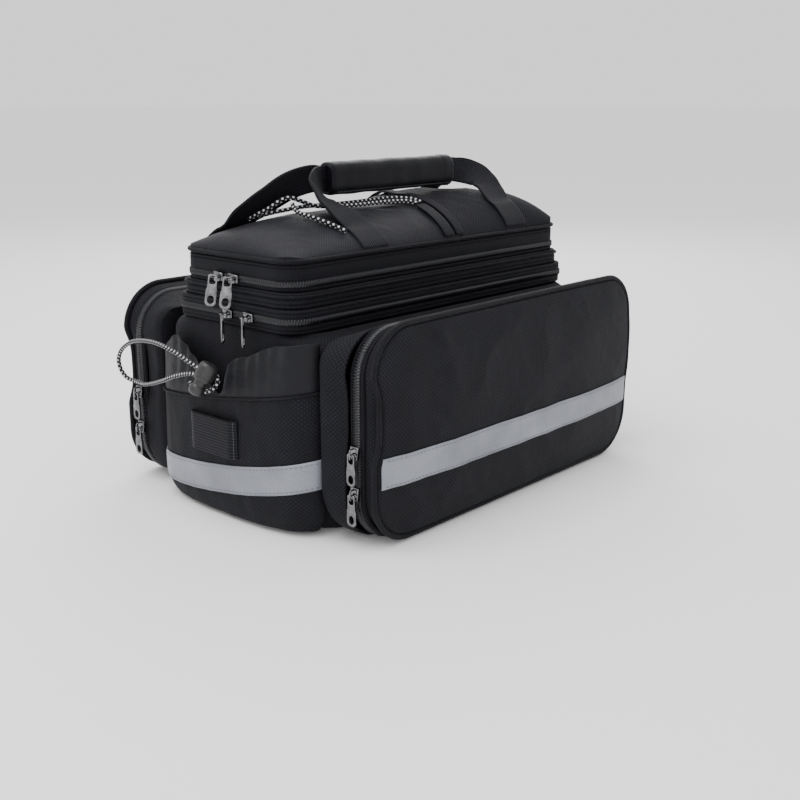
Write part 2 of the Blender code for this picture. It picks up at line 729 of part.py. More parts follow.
def make_pannier(bag, label, side, cloth, piping, zip_cloth, tape):
    """One side pannier: back tray, zipper band, front shell, piping and reflective strip."""
    back = PANNIER_BACK_Y
    tray_end = back + BACK_TRAY_DEPTH
    wall = SHELL_WALL
    low = PANNIER_LIFT
    shift = FRONT_SHIFT
    corner = PANNIER_CORNER
    tray_half = ZIP_HALF_LENGTH + TRAY_OVERHANG
    back_half = BACK_HALF_LENGTH - TRAY_ROUNDING
    back_low = low + 1.5 * TRAY_ROUNDING
    back_top = BACK_TOP - TRAY_ROUNDING
    rings = [
        pannier_ring(side, back_half, back_low, back_top, BACK_CORNER, back),
        pannier_ring(side, BACK_HALF_LENGTH, low + 0.5 * TRAY_ROUNDING, BACK_TOP, BACK_CORNER + TRAY_ROUNDING,
                     back + TRAY_SLOPE),
        pannier_ring(side, tray_half, low, ZIP_TOP, corner, tray_end, 0.6 * WAIST, 0.6 * shift),
        pannier_ring(side, tray_half - wall, low + wall, ZIP_TOP - wall, corner - wall,
                     tray_end, 0.6 * WAIST, 0.6 * shift),
        pannier_ring(side, back_half - wall, back_low + wall, back_top - wall, BACK_CORNER - wall, back + wall),
    ]
    bag.loft(f"{label}_pannier_back", rings, cloth)

    start = tray_end + GAP
    end = start + ZIP_BAND_DEPTH
    rings = []
    for out, y in coil_section(start, end, (start + end) / 2, wall):
        rings.append(pannier_ring(side, ZIP_HALF_LENGTH, low + COIL_OUT, ZIP_TOP, corner, y, 0.0, shift, out))
    bag.loft(f"{label}_pannier_zipper", rings, zip_cloth, wrap=True)

    front = end + GAP
    edge = PANNIER_FRONT_Y - PANNIER_BULGE
    inset = 2 * PANNIER_PIPING_RADIUS + GAP
    top = PANNIER_HEIGHT
    half = FRONT_HALF_LENGTH - inset
    rim_top = ZIP_TOP + FRONT_RIM
    outer = [
        pannier_ring(side, half, low + inset, rim_top, corner, front, WAIST, shift),
        pannier_ring(side, half, low + inset, top - inset, corner, edge - FRONT_SIDE, WAIST, shift),
        pannier_ring(side, half, low + inset, top - inset, corner, edge, WAIST, shift),
    ]
    shares = (0.93, 0.78, 0.52)
    outer += [panel_ring(side, share, 0.0) for share in shares]
    centre_z = (low + top) / 2
    pole = Vector((-side * shift, side * panel_y(0, centre_z), centre_z))
    inner = [panel_ring(side, share, wall) for share in (0.52, 0.90)]
    inner.append(pannier_ring(side, half - wall, low + inset + wall, rim_top - wall, corner - wall,
                              front, WAIST, shift))
    rings = [[pole - Vector((0, side * wall, 0))]] + inner + outer + [[pole]]
    bag.loft(f"{label}_pannier_front", rings, cloth)

    radius = PANNIER_PIPING_RADIUS
    rings = []
    for i in range(5):
        angle = 2 * pi * (i + 0.5) / 5
        y = edge - PIPING_DROP + radius * sin(angle)
        rings.append(pannier_ring(side, half, low + inset, top - inset, corner, y, WAIST, shift,
                                  out=radius + GAP + radius * cos(angle)))
    bag.loft(f"{label}_pannier_piping", rings, piping, wrap=True)

    rings = []
    count = 10
    for i in range(count + 1):
        x = (half - WAIST) * (2 * i / count - 1)
        ring = []
        for z, out in ((0.0, 0.0), (REFLECTOR_WIDTH, 0.0), (REFLECTOR_WIDTH, TAPE_THICK), (0.0, TAPE_THICK)):
            height = REFLECTOR_LOW + z
            y = panel_y(x, height) + 2 * GAP + out
            ring.append(Vector((-side * x - side * shift, side * y, height)))
        rings.append(ring)
    bag.loft(f"{label}_reflector", rings, tape, smooth=False)


def pocket_seam(y):
    """Height of the pocket's seam: lower at the far side."""
    v = -y
    return POCKET_SEAM + POCKET_SLOPE * v + POCKET_CURVE * v * v


def reflector_low(y):
    """Lower edge of the end strip, which slopes with the seam."""
    v = -y
    return END_REFLECTOR_LOW + POCKET_SLOPE * v + REFLECTOR_CURVE * v * v


def pocket_shares():
    """Width shares of the pocket wall's stations, closer together near both sides."""
    count = 16
    return [sin(radians(80) * (2 * i / count - 1)) / sin(radians(80)) for i in range(count + 1)]


def pocket_point(share, depth, skin):
    """A plan point of the end pocket's wall, which follows the tub: skin 1 is outside, 0 inside."""
    y = -share * POCKET_HALF_WIDTH
    sine = max(0.0, abs(y) - (TUB_HALF_WIDTH - TUB_CORNER)) / TUB_CORNER
    cosine = sqrt(1.0 - sine * sine)
    x = -(TUB_HALF_LENGTH - TUB_CORNER * (1.0 - cosine))
    reach = GAP + SHELL_WALL * skin + (POCKET_DEPTH - SHELL_WALL) * depth * crown(share)
    return x - cosine * reach, y + sine * reach * (1 if y > 0 else -1)


def pocket_facing(share):
    """Outward direction of the pocket's wall in the plan."""
    ahead = pocket_point(min(1.0, share + 0.02), 1.0, 1.0)
    behind = pocket_point(max(-1.0, share - 0.02), 1.0, 1.0)
    return Vector((ahead[1] - behind[1], behind[0] - ahead[0], 0.0)).normalized()


def make_end_pocket(bag, cloth, nylon, tape, webbing):
    """The open end pocket with its light collar, reflective strip and lamp loop."""
    wall = SHELL_WALL
    rings = []
    for share in pocket_shares():
        ring = []
        seam = pocket_seam(pocket_point(share, 1.0, 1.0)[1])
        for depth, height in POCKET_PROFILE:
            ring.append(Vector((*pocket_point(share, depth, 1.0), seam * height)))
        for depth, height in reversed(POCKET_PROFILE):
            z = max(seam * height, seam * POCKET_PROFILE[0][1] + wall)
            ring.append(Vector((*pocket_point(share, depth, 0.0), z)))
        rings.append(ring)
    bag.loft("end_pocket", rings, cloth)

    rings = []
    for share, height, lean in COLLAR_STATIONS:
        depth = POCKET_PROFILE[-1][0]
        leant = depth - COLLAR_LEAN * lean / (POCKET_DEPTH - SHELL_WALL)
        inside = 1.0 - COLLAR_WALL / SHELL_WALL
        low = pocket_seam(pocket_point(-share, depth, 1.0)[1]) + 2 * GAP
        high = low + COLLAR_HEIGHT * height
        rings.append([
            Vector((*pocket_point(-share, depth, 1.0), low)),
            Vector((*pocket_point(-share, leant, 1.0), high)),
            Vector((*pocket_point(-share, leant, inside), high)),
            Vector((*pocket_point(-share, depth, inside), low)),
        ])
    bag.loft("pocket_collar", rings, nylon, smooth=False)

    rings = []
    for share in pocket_shares()[1:-1]:
        ring = []
        for up, out in ((0.0, 0.0), (1.0, 0.0), (1.0, 1.0), (0.0, 1.0)):
            x, y = pocket_point(share, 1.0, 1.0)
            z = reflector_low(y) + END_REFLECTOR_WIDTH * up
            ring.append(Vector((x, y, z)) + pocket_facing(share) * (2 * GAP + TAPE_THICK * out))
        rings.append(ring)
    bag.loft("end_reflector", rings, tape, smooth=False)

    face = -BAG_LENGTH / 2
    back = face + LOOP_THICK
    foot = pocket_point(LOOP_WIDTH / 2 / POCKET_HALF_WIDTH, 1.0, 1.0)[0] - 2 * GAP
    half = LOOP_WIDTH / 2
    plan = (
        (face, -half), (foot, -half), (foot, -half + LOOP_FOOT), (back, -half + LOOP_FOOT + LOOP_BEND),
        (back, half - LOOP_FOOT - LOOP_BEND), (foot, half - LOOP_FOOT), (foot, half), (face, half),
    )
    rings = []
    for z in (LOOP_LOW, LOOP_LOW + LOOP_HEIGHT):
        rings.append([Vector((x, y + LOOP_Y, z)) for x, y in plan])
    bag.loft("light_loop", rings, webbing, smooth=False)


def make_slider_mesh():
    """A zipper slider lying on XY: travel along X, outwards +Z, with its bail as an arch."""
    shape = bmesh.new()
    bmesh.ops.create_cube(shape, size=1.0)
    bmesh.ops.scale(shape, vec=(SLIDER_LENGTH, SLIDER_WIDTH, SLIDER_THICK), verts=shape.verts)
    bmesh.ops.translate(shape, vec=(0, 0, SLIDER_THICK / 2), verts=shape.verts)
    for v in shape.verts:
        if v.co.x < 0:
            v.co.y *= 0.72
    body_mesh = bpy.data.meshes.new("slider_body")
    shape.to_mesh(body_mesh)
    shape.free()
    return body_mesh


def make_bail(bag):
    """The slider's bail as a welded mesh object among the cutters."""
    line = bpy.data.curves.new("bail", "CURVE")
    line.dimensions = "3D"
    line.bevel_depth = BAIL_WIRE / 2
    line.bevel_resolution = 1
    line.use_fill_caps = True
    spline = line.splines.new("POLY")
    points = []
    half = BAIL_SPAN / 2
    base = SLIDER_THICK - 0.6 * MM
    top = SLIDER_THICK + BAIL_RISE
    for x, z in ((-half, base), (-half, top - 1.3 * MM), (-half * 0.62, top), (half * 0.62, top),
                 (half, top - 1.3 * MM), (half, base)):
        points.append((x, 0.0, z))
    spline.points.add(len(points) - 1)
    for node, point in zip(spline.points, points):
        node.co = (*point, 1.0)
    guide = bpy.data.objects.new("bail_curve", line)
    bag.cutters.objects.link(guide)
    bpy.context.view_layer.update()
    shape = bmesh.new()
    mesh = bpy.data.meshes.new_from_object(guide.evaluated_get(bpy.context.evaluated_depsgraph_get()))
    shape.from_mesh(mesh)
    bmesh.ops.remove_doubles(shape, verts=shape.verts, dist=0.00001)
    bmesh.ops.recalc_face_normals(shape, faces=shape.faces[:])
    shape.to_mesh(mesh)
    shape.free()
    made = bpy.data.objects.new("bail", mesh)
    bag.cutters.objects.link(made)
    made.hide_render = True
    made.display_type = "WIRE"
    bpy.data.objects.remove(guide)
    return made


def make_union(bag, body_mesh, tool, name):
    """The union of a mesh and a tool object as one mesh."""
    holder = bpy.data.objects.new(name, body_mesh)
    bag.parts.objects.link(holder)
    union = holder.modifiers.new("union", "BOOLEAN")
    union.operation = "UNION"
    union.solver = "EXACT"
    union.object = tool
    bpy.context.view_layer.update()
    made = bpy.data.meshes.new_from_object(holder.evaluated_get(bpy.context.evaluated_depsgraph_get()))
    bpy.data.objects.remove(holder)
    made.materials.clear()
    return made


def ellipse_points(middle, half_x, half_y, count):
    """Points of an oval."""
    points = []
    for i in range(count):
        angle = 2 * pi * i / count
        points.append((middle[0] + half_x * cos(angle), middle[1] + half_y * sin(angle)))
    return points


def cut_corners(middle_y, half_x, half_y, corner):
    """A rectangle round (0, middle_y) with its corners cut off."""
    points = []
    for sx, sy in ((1, -1), (1, 1), (-1, 1), (-1, -1)):
        steps = ((sx * half_x, sy * (half_y - corner)), (sx * (half_x - corner), sy * half_y))
        points += steps if sx * sy > 0 else steps[::-1]
    return [(x, y + middle_y) for x, y in points]


def make_tab_mesh(bag):
    """A pull tab that hangs along -Y from the origin, its bar at the origin, its thickness along Z."""
    half_top = TAB_TOP_WIDTH / 2
    half_end = TAB_END_WIDTH / 2
    top = TAB_BAR / 2
    end = top - TAB_LENGTH
    outline = [
        (half_top * 0.6, top), (half_top, top - 1.6 * MM), (half_top, top - 7.5 * MM),
        (half_end, top - 11 * MM), (half_end, end + 2.6 * MM), (half_end * 0.55, end),
    ]
    outline += [(-x, y) for x, y in reversed(outline)]
    eye = cut_corners(-TAB_BAR / 2 - TAB_EYE_LENGTH / 2, TAB_EYE_WIDTH / 2, TAB_EYE_LENGTH / 2,
                      TAB_EYE_CORNER)
    slot = ellipse_points((0.0, end + 1.5 * MM + TAB_SLOT_LENGTH / 2), TAB_SLOT_WIDTH / 2,
                          TAB_SLOT_LENGTH / 2, 8)
    flat = bpy.data.curves.new("tab", "CURVE")
    flat.dimensions = "2D"
    flat.fill_mode = "BOTH"
    flat.extrude = TAB_THICK / 2
    for points in (outline, eye, slot):
        spline = flat.splines.new("POLY")
        spline.points.add(len(points) - 1)
        for node, (x, y) in zip(spline.points, points):
            node.co = (x, y, 0.0, 1.0)
        spline.use_cyclic_u = True
    guide = bpy.data.objects.new("tab_curve", flat)
    bag.cutters.objects.link(guide)
    bpy.context.view_layer.update()
    mesh = bpy.data.meshes.new_from_object(guide.evaluated_get(bpy.context.evaluated_depsgraph_get()))
    shape = bmesh.new()
    shape.from_mesh(mesh)
    bmesh.ops.remove_doubles(shape, verts=shape.verts, dist=0.00001)
    bmesh.ops.recalc_face_normals(shape, faces=shape.faces[:])
    shape.to_mesh(mesh)
    shape.free()
    mesh.materials.clear()
    bpy.data.objects.remove(guide)
    return mesh


def frame_matrix(origin, x_axis, y_axis):
    """A placing matrix from its origin and two axes."""
    z_axis = x_axis.cross(y_axis)
    turned = Matrix((x_axis, y_axis, z_axis)).transposed().to_4x4()
    return Matrix.Translation(origin) @ turned


def make_pulls(bag, metal):
    """Eight sliders with their hanging tabs; each tab turns on an empty at its bail."""
    bail = make_bail(bag)
    slider_mesh = make_union(bag, make_slider_mesh(), bail, "slider_blank")
    tab_mesh = make_tab_mesh(bag)
    out = Vector((-1, 0, 0))
    up = Vector((0, 0, 1))
    seat = SLIDER_THICK + BAIL_RISE

    lid_rows = (
        ("upper_left", UPPER_ZIP_HALF[0], upper_zip_levels()[2], UPPER_SLIDERS_Y[0], 1, TAB_LEAN),
        ("upper_right", UPPER_ZIP_HALF[0], upper_zip_levels()[2], UPPER_SLIDERS_Y[1], 1, TAB_LEAN),
        ("lower_left", LOWER_ZIP_HALF[0], lower_zip_levels()[2], LOWER_SLIDERS_Y[0], -1, 0.0),
        ("lower_right", LOWER_ZIP_HALF[0], lower_zip_levels()[2], LOWER_SLIDERS_Y[1], -1, 0.0),
    )
    for label, half_x, z, y, twist, lean in lid_rows:
        base = Vector((-half_x - COIL_OUT - GAP, y, z))
        travel = Vector((0, 1, 0))
        place = frame_matrix(base, travel, out.cross(travel))
        bag.add(f"{label}_slider", slider_mesh, metal, place)
        pivot = base + out * seat
        hinge = bag.empty(f"{label}_pivot", Matrix.Translation(pivot))
        turn = Matrix.Rotation(lean, 4, "Y") @ Matrix.Rotation(twist * TAB_TWIST, 4, "Z")
        plate = frame_matrix(Vector((0, 0, BAIL_WIRE / 2 + GAP + TAB_BAR / 2)), Vector((0, 1, 0)), up)
        bag.add(f"{label}_pull", tab_mesh, metal, turn @ plate, hinge)

    coil_y = PANNIER_BACK_Y + BACK_TRAY_DEPTH + GAP + ZIP_BAND_DEPTH / 2
    side_rows = (
        ("near_upper", -1, NEAR_SLIDER_HEIGHT),
        ("near_lower", -1, NEAR_SLIDER_HEIGHT - SLIDER_STEP),
        ("far_upper", 1, FAR_SLIDER_HEIGHT),
        ("far_lower", 1, FAR_SLIDER_HEIGHT - SLIDER_STEP),
    )
    for label, side, z in side_rows:
        end_x = -(ZIP_HALF_LENGTH + COIL_OUT + GAP) - side * FRONT_SHIFT
        base = Vector((end_x, side * coil_y, z))
        place = frame_matrix(base, up, out.cross(up))
        bag.add(f"{label}_slider", slider_mesh, metal, place)
        drop = BAIL_WIRE / 2 + GAP + TAB_BAR / 2
        pivot = base + out * (seat - drop)
        hinge = bag.empty(f"{label}_pivot", Matrix.Translation(pivot))
        plate = frame_matrix(Vector((0, 0, 0)), Vector((0, 1, 0)), up)
        bag.add(f"{label}_pull", tab_mesh, metal, plate, hinge)


def turned_ring(middle, axis, side, along, radius, count):
    """A ring of points round an axis."""
    other = axis.cross(side)
    ring = []
    for i in range(count):
        angle = 2 * pi * i / count
        ring.append(middle + axis * along + (side * cos(angle) + other * sin(angle)) * radius)
    return ring


def make_cord_lock(bag, plastic):
    """The barrel of the cord lock and its sprung button, on one slanted axis."""
    axis = LOCK_AXIS
    side = axis.orthogonal().normalized()
    half = LOCK_LENGTH / 2
    count = 10
    profile = (
        (-half, 0.62), (-half * 0.72, 0.93), (-half * 0.2, 1.0), (half * 0.5, 1.0),
        (half * 0.55, 0.93), (half * 0.8, 0.93), (half, 0.84),
    )
    rings = []
    for along, share in profile:
        rings.append(turned_ring(LOCK_MIDDLE, axis, side, along, LOCK_RADIUS * share, count))
    floor = half - LOCK_BORE_DEPTH
    for along in (half, floor):
        rings.append(turned_ring(LOCK_MIDDLE, axis, side, along, LOCK_BORE, count))
    bag.loft("cord_lock", rings, plastic)

    mount = bag.empty("button_slide", frame_matrix(LOCK_MIDDLE, side, axis.cross(side)))
    tip = half + BUTTON_NECK + BUTTON_TRAVEL
    profile = (
        (tip - BUTTON_STEM_LENGTH, BUTTON_STEM),
        (tip, BUTTON_STEM),
        (tip + 0.1 * BUTTON_RADIUS, 0.86 * BUTTON_RADIUS),
        (tip + 0.55 * BUTTON_RADIUS, BUTTON_RADIUS),
        (tip + 1.05 * BUTTON_RADIUS, 0.84 * BUTTON_RADIUS),
        (tip + 1.35 * BUTTON_RADIUS, 0.42 * BUTTON_RADIUS),
    )
    rings = []
    flat = Vector((1, 0, 0))
    for along, radius in profile:
        rings.append(turned_ring(Vector((0, 0, 0)), Vector((0, 0, 1)), flat, along, radius, count))
    button = bag.loft("cord_lock_button", rings, plastic)
    button.parent = mount


def make_cords(bag, elastic):
    """The lacing on the lid and the drawstring at the end pocket."""
    spacing = CORD_SPACING * CORD_DIAMETER
    routes = (
        ("bungee_front", BUNGEE_FRONT),
        ("bungee_back", BUNGEE_BACK),
        ("bungee_side", BUNGEE_SIDE),
    )
    for name, route in routes:
        points = []
        for x, y, lift in route:
            points.append(on_lid(x * MM, y * MM, lift * MM + CORD_DIAMETER / 2))
        bag.tube(name, smooth_curve(points, spacing), CORD_DIAMETER, elastic)
    for name, route in (("drawstring_loop", LOOP_ROUTE), ("drawstring_tail", TAIL_ROUTE)):
        points = [Vector(row) * MM for row in route]
        bag.tube(name, smooth_curve(points, spacing), CORD_DIAMETER, elastic)


def build():
    """Clears the scene and makes the whole bag."""
    for old in list(bpy.data.objects):
        bpy.data.objects.remove(old)
    bag = Bag()
    cloth = new_material("woven_cloth", (0.022, 0.022, 0.026), 0.85)
    mesh_cloth = new_material("mesh_cloth", (0.016, 0.017, 0.019), 0.9)
    piping = new_material("piping", (0.03, 0.03, 0.034), 0.7)
    zip_cloth = new_material("zipper_tape", (0.014, 0.014, 0.016), 0.75)
    webbing = new_material("webbing", (0.018, 0.018, 0.021), 0.8)
    nylon = new_material("thin_nylon", (0.06, 0.06, 0.066), 0.55)
    tape = new_material("reflective_tape", (0.52, 0.53, 0.56), 0.45)
    metal = new_material("pull_metal", (0.42, 0.42, 0.43), 0.3, 1.0)
    plastic = new_material("lock_plastic", (0.09, 0.09, 0.095), 0.45)
    elastic = new_material("elastic_cord", (0.05, 0.05, 0.052), 0.8)
    make_main_body(bag, cloth)
    low, high, middle = lower_zip_levels()
    band(bag, "lower_zipper", LOWER_ZIP_HALF, coil_section(low, high, middle, BAND_WALL), zip_cloth)
    low, high = expander_levels()
    span = high - low
    section = (
        (0.0, low), (RIDGE_OUT * 0.7, low + 0.2 * span), (0.2 * RIDGE_OUT, low + 0.48 * span),
        (RIDGE_OUT, low + 0.78 * span), (0.0, high), (-BAND_WALL, high), (-BAND_WALL, low),
    )
    band(bag, "expansion_band", EXPANDER_HALF, section, cloth)
    low, high, middle = upper_zip_levels()
    band(bag, "upper_zipper", UPPER_ZIP_HALF, coil_section(low, high, middle, BAND_WALL), zip_cloth)
    make_lid(bag, cloth, mesh_cloth, piping, webbing)
    make_handle(bag, webbing, nylon)
    make_pannier(bag, "near", -1, cloth, piping, zip_cloth, tape)
    make_pannier(bag, "far", 1, cloth, piping, zip_cloth, tape)
    make_end_pocket(bag, cloth, nylon, tape, webbing)
    make_pulls(bag, metal)
    make_cord_lock(bag, plastic)
    make_cords(bag, elastic)


build()
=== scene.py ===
from math import cos, pi, radians, sin, sqrt

import bmesh
import bpy
from mathutils import Matrix, Vector, noise


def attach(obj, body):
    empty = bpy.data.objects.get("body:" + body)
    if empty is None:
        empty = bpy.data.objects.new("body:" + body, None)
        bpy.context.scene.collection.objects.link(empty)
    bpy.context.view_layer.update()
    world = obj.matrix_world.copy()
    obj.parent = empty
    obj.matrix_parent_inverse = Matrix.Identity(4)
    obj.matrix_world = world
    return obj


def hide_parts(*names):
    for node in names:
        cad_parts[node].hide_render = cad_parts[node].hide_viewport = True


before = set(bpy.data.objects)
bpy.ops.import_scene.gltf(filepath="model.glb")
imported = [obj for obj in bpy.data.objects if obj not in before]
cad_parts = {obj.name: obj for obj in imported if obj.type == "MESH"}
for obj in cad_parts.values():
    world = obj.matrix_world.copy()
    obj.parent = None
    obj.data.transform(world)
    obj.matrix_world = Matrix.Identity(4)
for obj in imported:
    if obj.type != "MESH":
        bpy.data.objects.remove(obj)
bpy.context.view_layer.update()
mm = 0.001


# Camera, light and floor
studio = {
    "azimuth": -48.05, "elevation": 15.49, "lens": 49.19, "place": (-0.60090, -0.55431, 0.27506),
    "floorSize": 60.0, "floorTone": 0.95, "floorDrop": 0.0004, "worldStrength": 1.25,
    "target": (0.0, 0.0, 0.1),
    # power, size and place
    "keyLight": (14.0, 0.9, (-0.55, 0.10, 1.35)),
    "fillLight": (5.0, 1.1, (-1.5, -1.2, 0.7)),
    "rimLight": (8.0, 0.9, (0.9, 0.8, 0.9)),
}


def aim(item, direction):
    item.rotation_mode = "QUATERNION"
    item.rotation_quaternion = direction.to_track_quat("-Z", "Y")


def addToScene(name, data):
    item = bpy.data.objects.new(name, data)
    bpy.context.scene.collection.objects.link(item)
    return item


def makeStudio():
    a, e = radians(studio["azimuth"]), radians(studio["elevation"])
    camera = addToScene("photoCamera", bpy.data.cameras.new("photoCamera"))
    camera.data.lens = studio["lens"]
    camera.data.sensor_width = 36.0
    camera.location = studio["place"]
    aim(camera, Vector((-sin(a) * cos(e), cos(a) * cos(e), -sin(e))))
    bpy.context.scene.camera = camera
    world = bpy.data.worlds.new("paleStudio")
    world.use_nodes = True
    sky = world.node_tree.nodes["Background"]
    sky.inputs["Color"].default_value = (1.0, 1.0, 1.0, 1.0)
    sky.inputs["Strength"].default_value = studio["worldStrength"]
    bpy.context.scene.world = world
    for label in ("keyLight", "fillLight", "rimLight"):
        light = bpy.data.lights.new(label, "AREA")
        light.energy, light.size, place = studio[label]
        lamp = addToScene(label, light)
        lamp.location = place
        aim(lamp, Vector(studio["target"]) - lamp.location)
    shape = bmesh.new()
    bmesh.ops.create_grid(shape, x_segments=4, y_segments=4, size=studio["floorSize"] / 2)
    floor = addToScene("studioFloor", bpy.data.meshes.new("studioFloor"))
    shape.to_mesh(floor.data)
    shape.free()
    floor.location.z = -studio["floorDrop"]
    paper = bpy.data.materials.new("palePaper")
    paper.use_nodes = True
    skin = paper.node_tree.nodes["Principled BSDF"]
    skin.inputs["Base Color"].default_value = (*[studio["floorTone"]] * 3, 1.0)
    skin.inputs["Roughness"].default_value = 0.8
    floor.data.materials.append(paper)


makeStudio()
print("studio ready")


# Materials
class Looks:
    def __init__(self, name, colour, roughness, **more):
        self.made = bpy.data.materials.new(name)
        self.made.use_nodes = True
        self.tree = self.made.node_tree
        self.skin = self.tree.nodes["Principled BSDF"]
        self.skin.inputs["Base Color"].default_value = (*colour, 1.0)
        self.skin.inputs["Roughness"].default_value = roughness
        for key, value in more.items():
            self.skin.inputs[key.replace("_", " ")].default_value = value
        self.made.diffuse_color = (*colour, 1.0)

    def node(self, kind, wires, **values):
        # each wire is a number or another node's output
        made = self.tree.nodes.new(kind)
        for key, value in values.items():
            setattr(made, key, value)
        for key, value in wires.items():
            if isinstance(value, (int, float)):
                made.inputs[key].default_value = value
            else:
                self.tree.links.new(value, made.inputs[key])
        return made

    def place(self, kind="Object"):
        return self.node("ShaderNodeTexCoord", {}).outputs[kind]

    def weaveAxes(self):
        split = self.node("ShaderNodeSeparateXYZ", {0: self.place("UV")})
        return split.outputs[0], split.outputs[1]

    def math(self, operation, a, b):
        return self.node("ShaderNodeMath", {0: a, 1: b}, operation=operation).outputs[0]

    def times(self, a, b):
        return self.math("MULTIPLY", a, b)

    def total(self, a, shareA, b, shareB):
        return self.math("ADD", self.times(a, shareA), self.times(b, shareB))

    def wave(self, source, period, operation="SINE"):
        angle = self.times(source, 2 * pi / period)
        return self.node("ShaderNodeMath", {0: angle}, operation=operation).outputs[0]

    def noise(self, scale, detail):
        wires = {"Vector": self.place(), "Scale": scale, "Detail": detail, "Roughness": 0.55}
        return self.node("ShaderNodeTexNoise", wires).outputs["Fac"]

    def ramp(self, source, stops):
        made = self.node("ShaderNodeValToRGB", {"Fac": source})
        while len(made.color_ramp.elements) < len(stops):
            made.color_ramp.elements.new(0.5)
        for element, (spot, colour) in zip(made.color_ramp.elements, stops):
            element.position = spot
            element.color = (*colour, 1.0)
        return made.outputs["Color"]

    def span(self, source, low=0.0, high=1.0):
        wires = {"Value": source, "To Min": low, "To Max": high}
        return self.node("ShaderNodeMapRange", wires).outputs["Result"]

    def colour(self, source):
        self.tree.links.new(source, self.skin.inputs["Base Color"])

    def rough(self, source, low, high):
        self.tree.links.new(self.span(source, low, high), self.skin.inputs["Roughness"])

    def bump(self, height, strength, distance, before=None):
        wires = {"Strength": strength, "Distance": distance, "Height": height}
        if before is not None:
            wires["Normal"] = before
        made = self.node("ShaderNodeBump", wires).outputs["Normal"]
        self.tree.links.new(made, self.skin.inputs["Normal"])
        return made


def grey(value):
    # the black cloth has a slight blue cast
    return (value, value, value * 1.4 + 0.0008)


def plain(value):
    return (value, value, value * 1.03)


def shades(tone, stops, tint=grey):
    return tuple((spot, tint(tone * share)) for spot, share in stops)


def basketCloth(name, tone, pitch, roughness, depth, sheen):
    look = Looks(name, grey(tone), roughness, Sheen_Weight=sheen, Sheen_Roughness=0.5,
                 Specular_IOR_Level=0.16)
    u, v = look.weaveAxes()
    height = look.span(look.times(look.wave(u, 2 * pitch), look.wave(v, 2 * pitch)), 0.25, 0.75)
    cloudy = look.noise(55.0, 4.0)
    # painted highlight and painted shade: the weave's raised yarns are painted lighter and the gaps between
    # them darker, mixed with tone that differs at random
    mixed = look.total(height, 0.62, cloudy, 0.38)
    look.colour(look.ramp(mixed, shades(tone, ((0.24, 0.3), (0.5, 1.0), (0.72, 3.6)))))
    first = look.bump(look.total(height, 1.0, look.noise(900.0, 2.0), 0.25), depth, 0.4 * mm)
    look.bump(look.noise(70.0, 5.0), 0.35, 2.0 * mm, first)
    look.rough(cloudy, roughness - 0.1, roughness + 0.08)
    return look.made


def ribbedCloth(name, tone, pitch, turn, roughness, cross=0.3):
    look = Looks(name, grey(tone), roughness, Sheen_Weight=0.01, Sheen_Roughness=0.5, Specular_IOR_Level=0.16)
    u, v = look.weaveAxes()
    along, across = look.total(u, cos(turn), v, sin(turn)), look.total(v, cos(turn), u, -sin(turn))
    ribs = look.total(look.wave(along, pitch), 1.0, look.wave(across, pitch * 0.8), cross)
    height = look.span(ribs, 0.2, 0.8)
    cloudy = look.noise(60.0, 4.0)
    # painted highlight and painted shade: the ribs' tops are painted lighter and the grooves between them
    # darker, mixed with tone that differs at random
    mixed = look.total(height, 0.7, cloudy, 0.3)
    look.colour(look.ramp(mixed, shades(tone, ((0.25, 0.3), (0.5, 1.0), (0.78, 3.4)))))
    look.bump(height, 0.75, 0.6 * mm)
    look.rough(cloudy, roughness - 0.08, roughness + 0.06)
    return look.made


def smoothNylon(name, tone, roughness, shine):
    look = Looks(name, grey(tone), roughness, Sheen_Weight=0.01, Specular_IOR_Level=shine)
    u, v = look.weaveAxes()
    yarn = 1.1 * mm
    fine = look.total(look.times(look.wave(u, yarn), look.wave(v, yarn)), 0.16, look.noise(45.0, 5.0), 1.0)
    look.colour(look.ramp(fine, shades(tone, ((0.25, 0.6), (0.5, 1.0), (0.8, 1.7)))))
    look.bump(fine, 0.4, 0.8 * mm)
    look.rough(look.noise(120.0, 3.0), roughness - 0.1, roughness + 0.12)
    return look.made


def reflectiveTape():
    middle = (0.20, 0.21, 0.24)
    look = Looks("reflectiveTape", middle, 0.42, Metallic=0.15, Specular_IOR_Level=0.4)
    beads = look.node("ShaderNodeTexVoronoi", {"Vector": look.place(), "Scale": 1300.0})
    mixed = look.total(look.noise(28.0, 4.0), 0.75, beads.outputs["Distance"], 0.25)
    look.colour(look.ramp(mixed, ((0.25, (0.15, 0.155, 0.18)), (0.5, middle), (0.75, (0.27, 0.28, 0.315)))))
    look.bump(mixed, 0.25, 0.3 * mm)
    look.rough(look.noise(200.0, 2.0), 0.32, 0.52)
    return look.made


def fleckedCord():
    # two pale flecks round each half pitch of the braid, a quarter turn from the two before
    look = Looks("elasticCord", (0.02, 0.02, 0.022), 0.7, Sheen_Weight=0.02, Specular_IOR_Level=0.2)
    braid, yarn, strands = 3.7 * mm, 1.1 * mm, 4
    u, v = look.weaveAxes()
    fleck = look.math("GREATER_THAN", look.times(look.wave(u, braid), look.wave(v, 0.5, "COSINE")), 0.35)
    turns = [look.node("ShaderNodeMath", {0: look.total(u, 2 * pi / yarn, v, way * 2 * pi * strands)},
                       operation="SINE").outputs[0] for way in (1, -1)]
    knit = look.times(*turns)
    dark, pale = (look.ramp(look.span(knit), ((0.2, tint(low)), (0.8, tint(high))))
                  for tint, low, high in ((grey, 0.003, 0.012), (plain, 0.5, 0.72)))
    look.colour(look.node("ShaderNodeMix", {0: fleck, 6: dark, 7: pale}, data_type="RGBA").outputs[2])
    look.bump(knit, 0.6, 0.35 * mm)
    return look.made


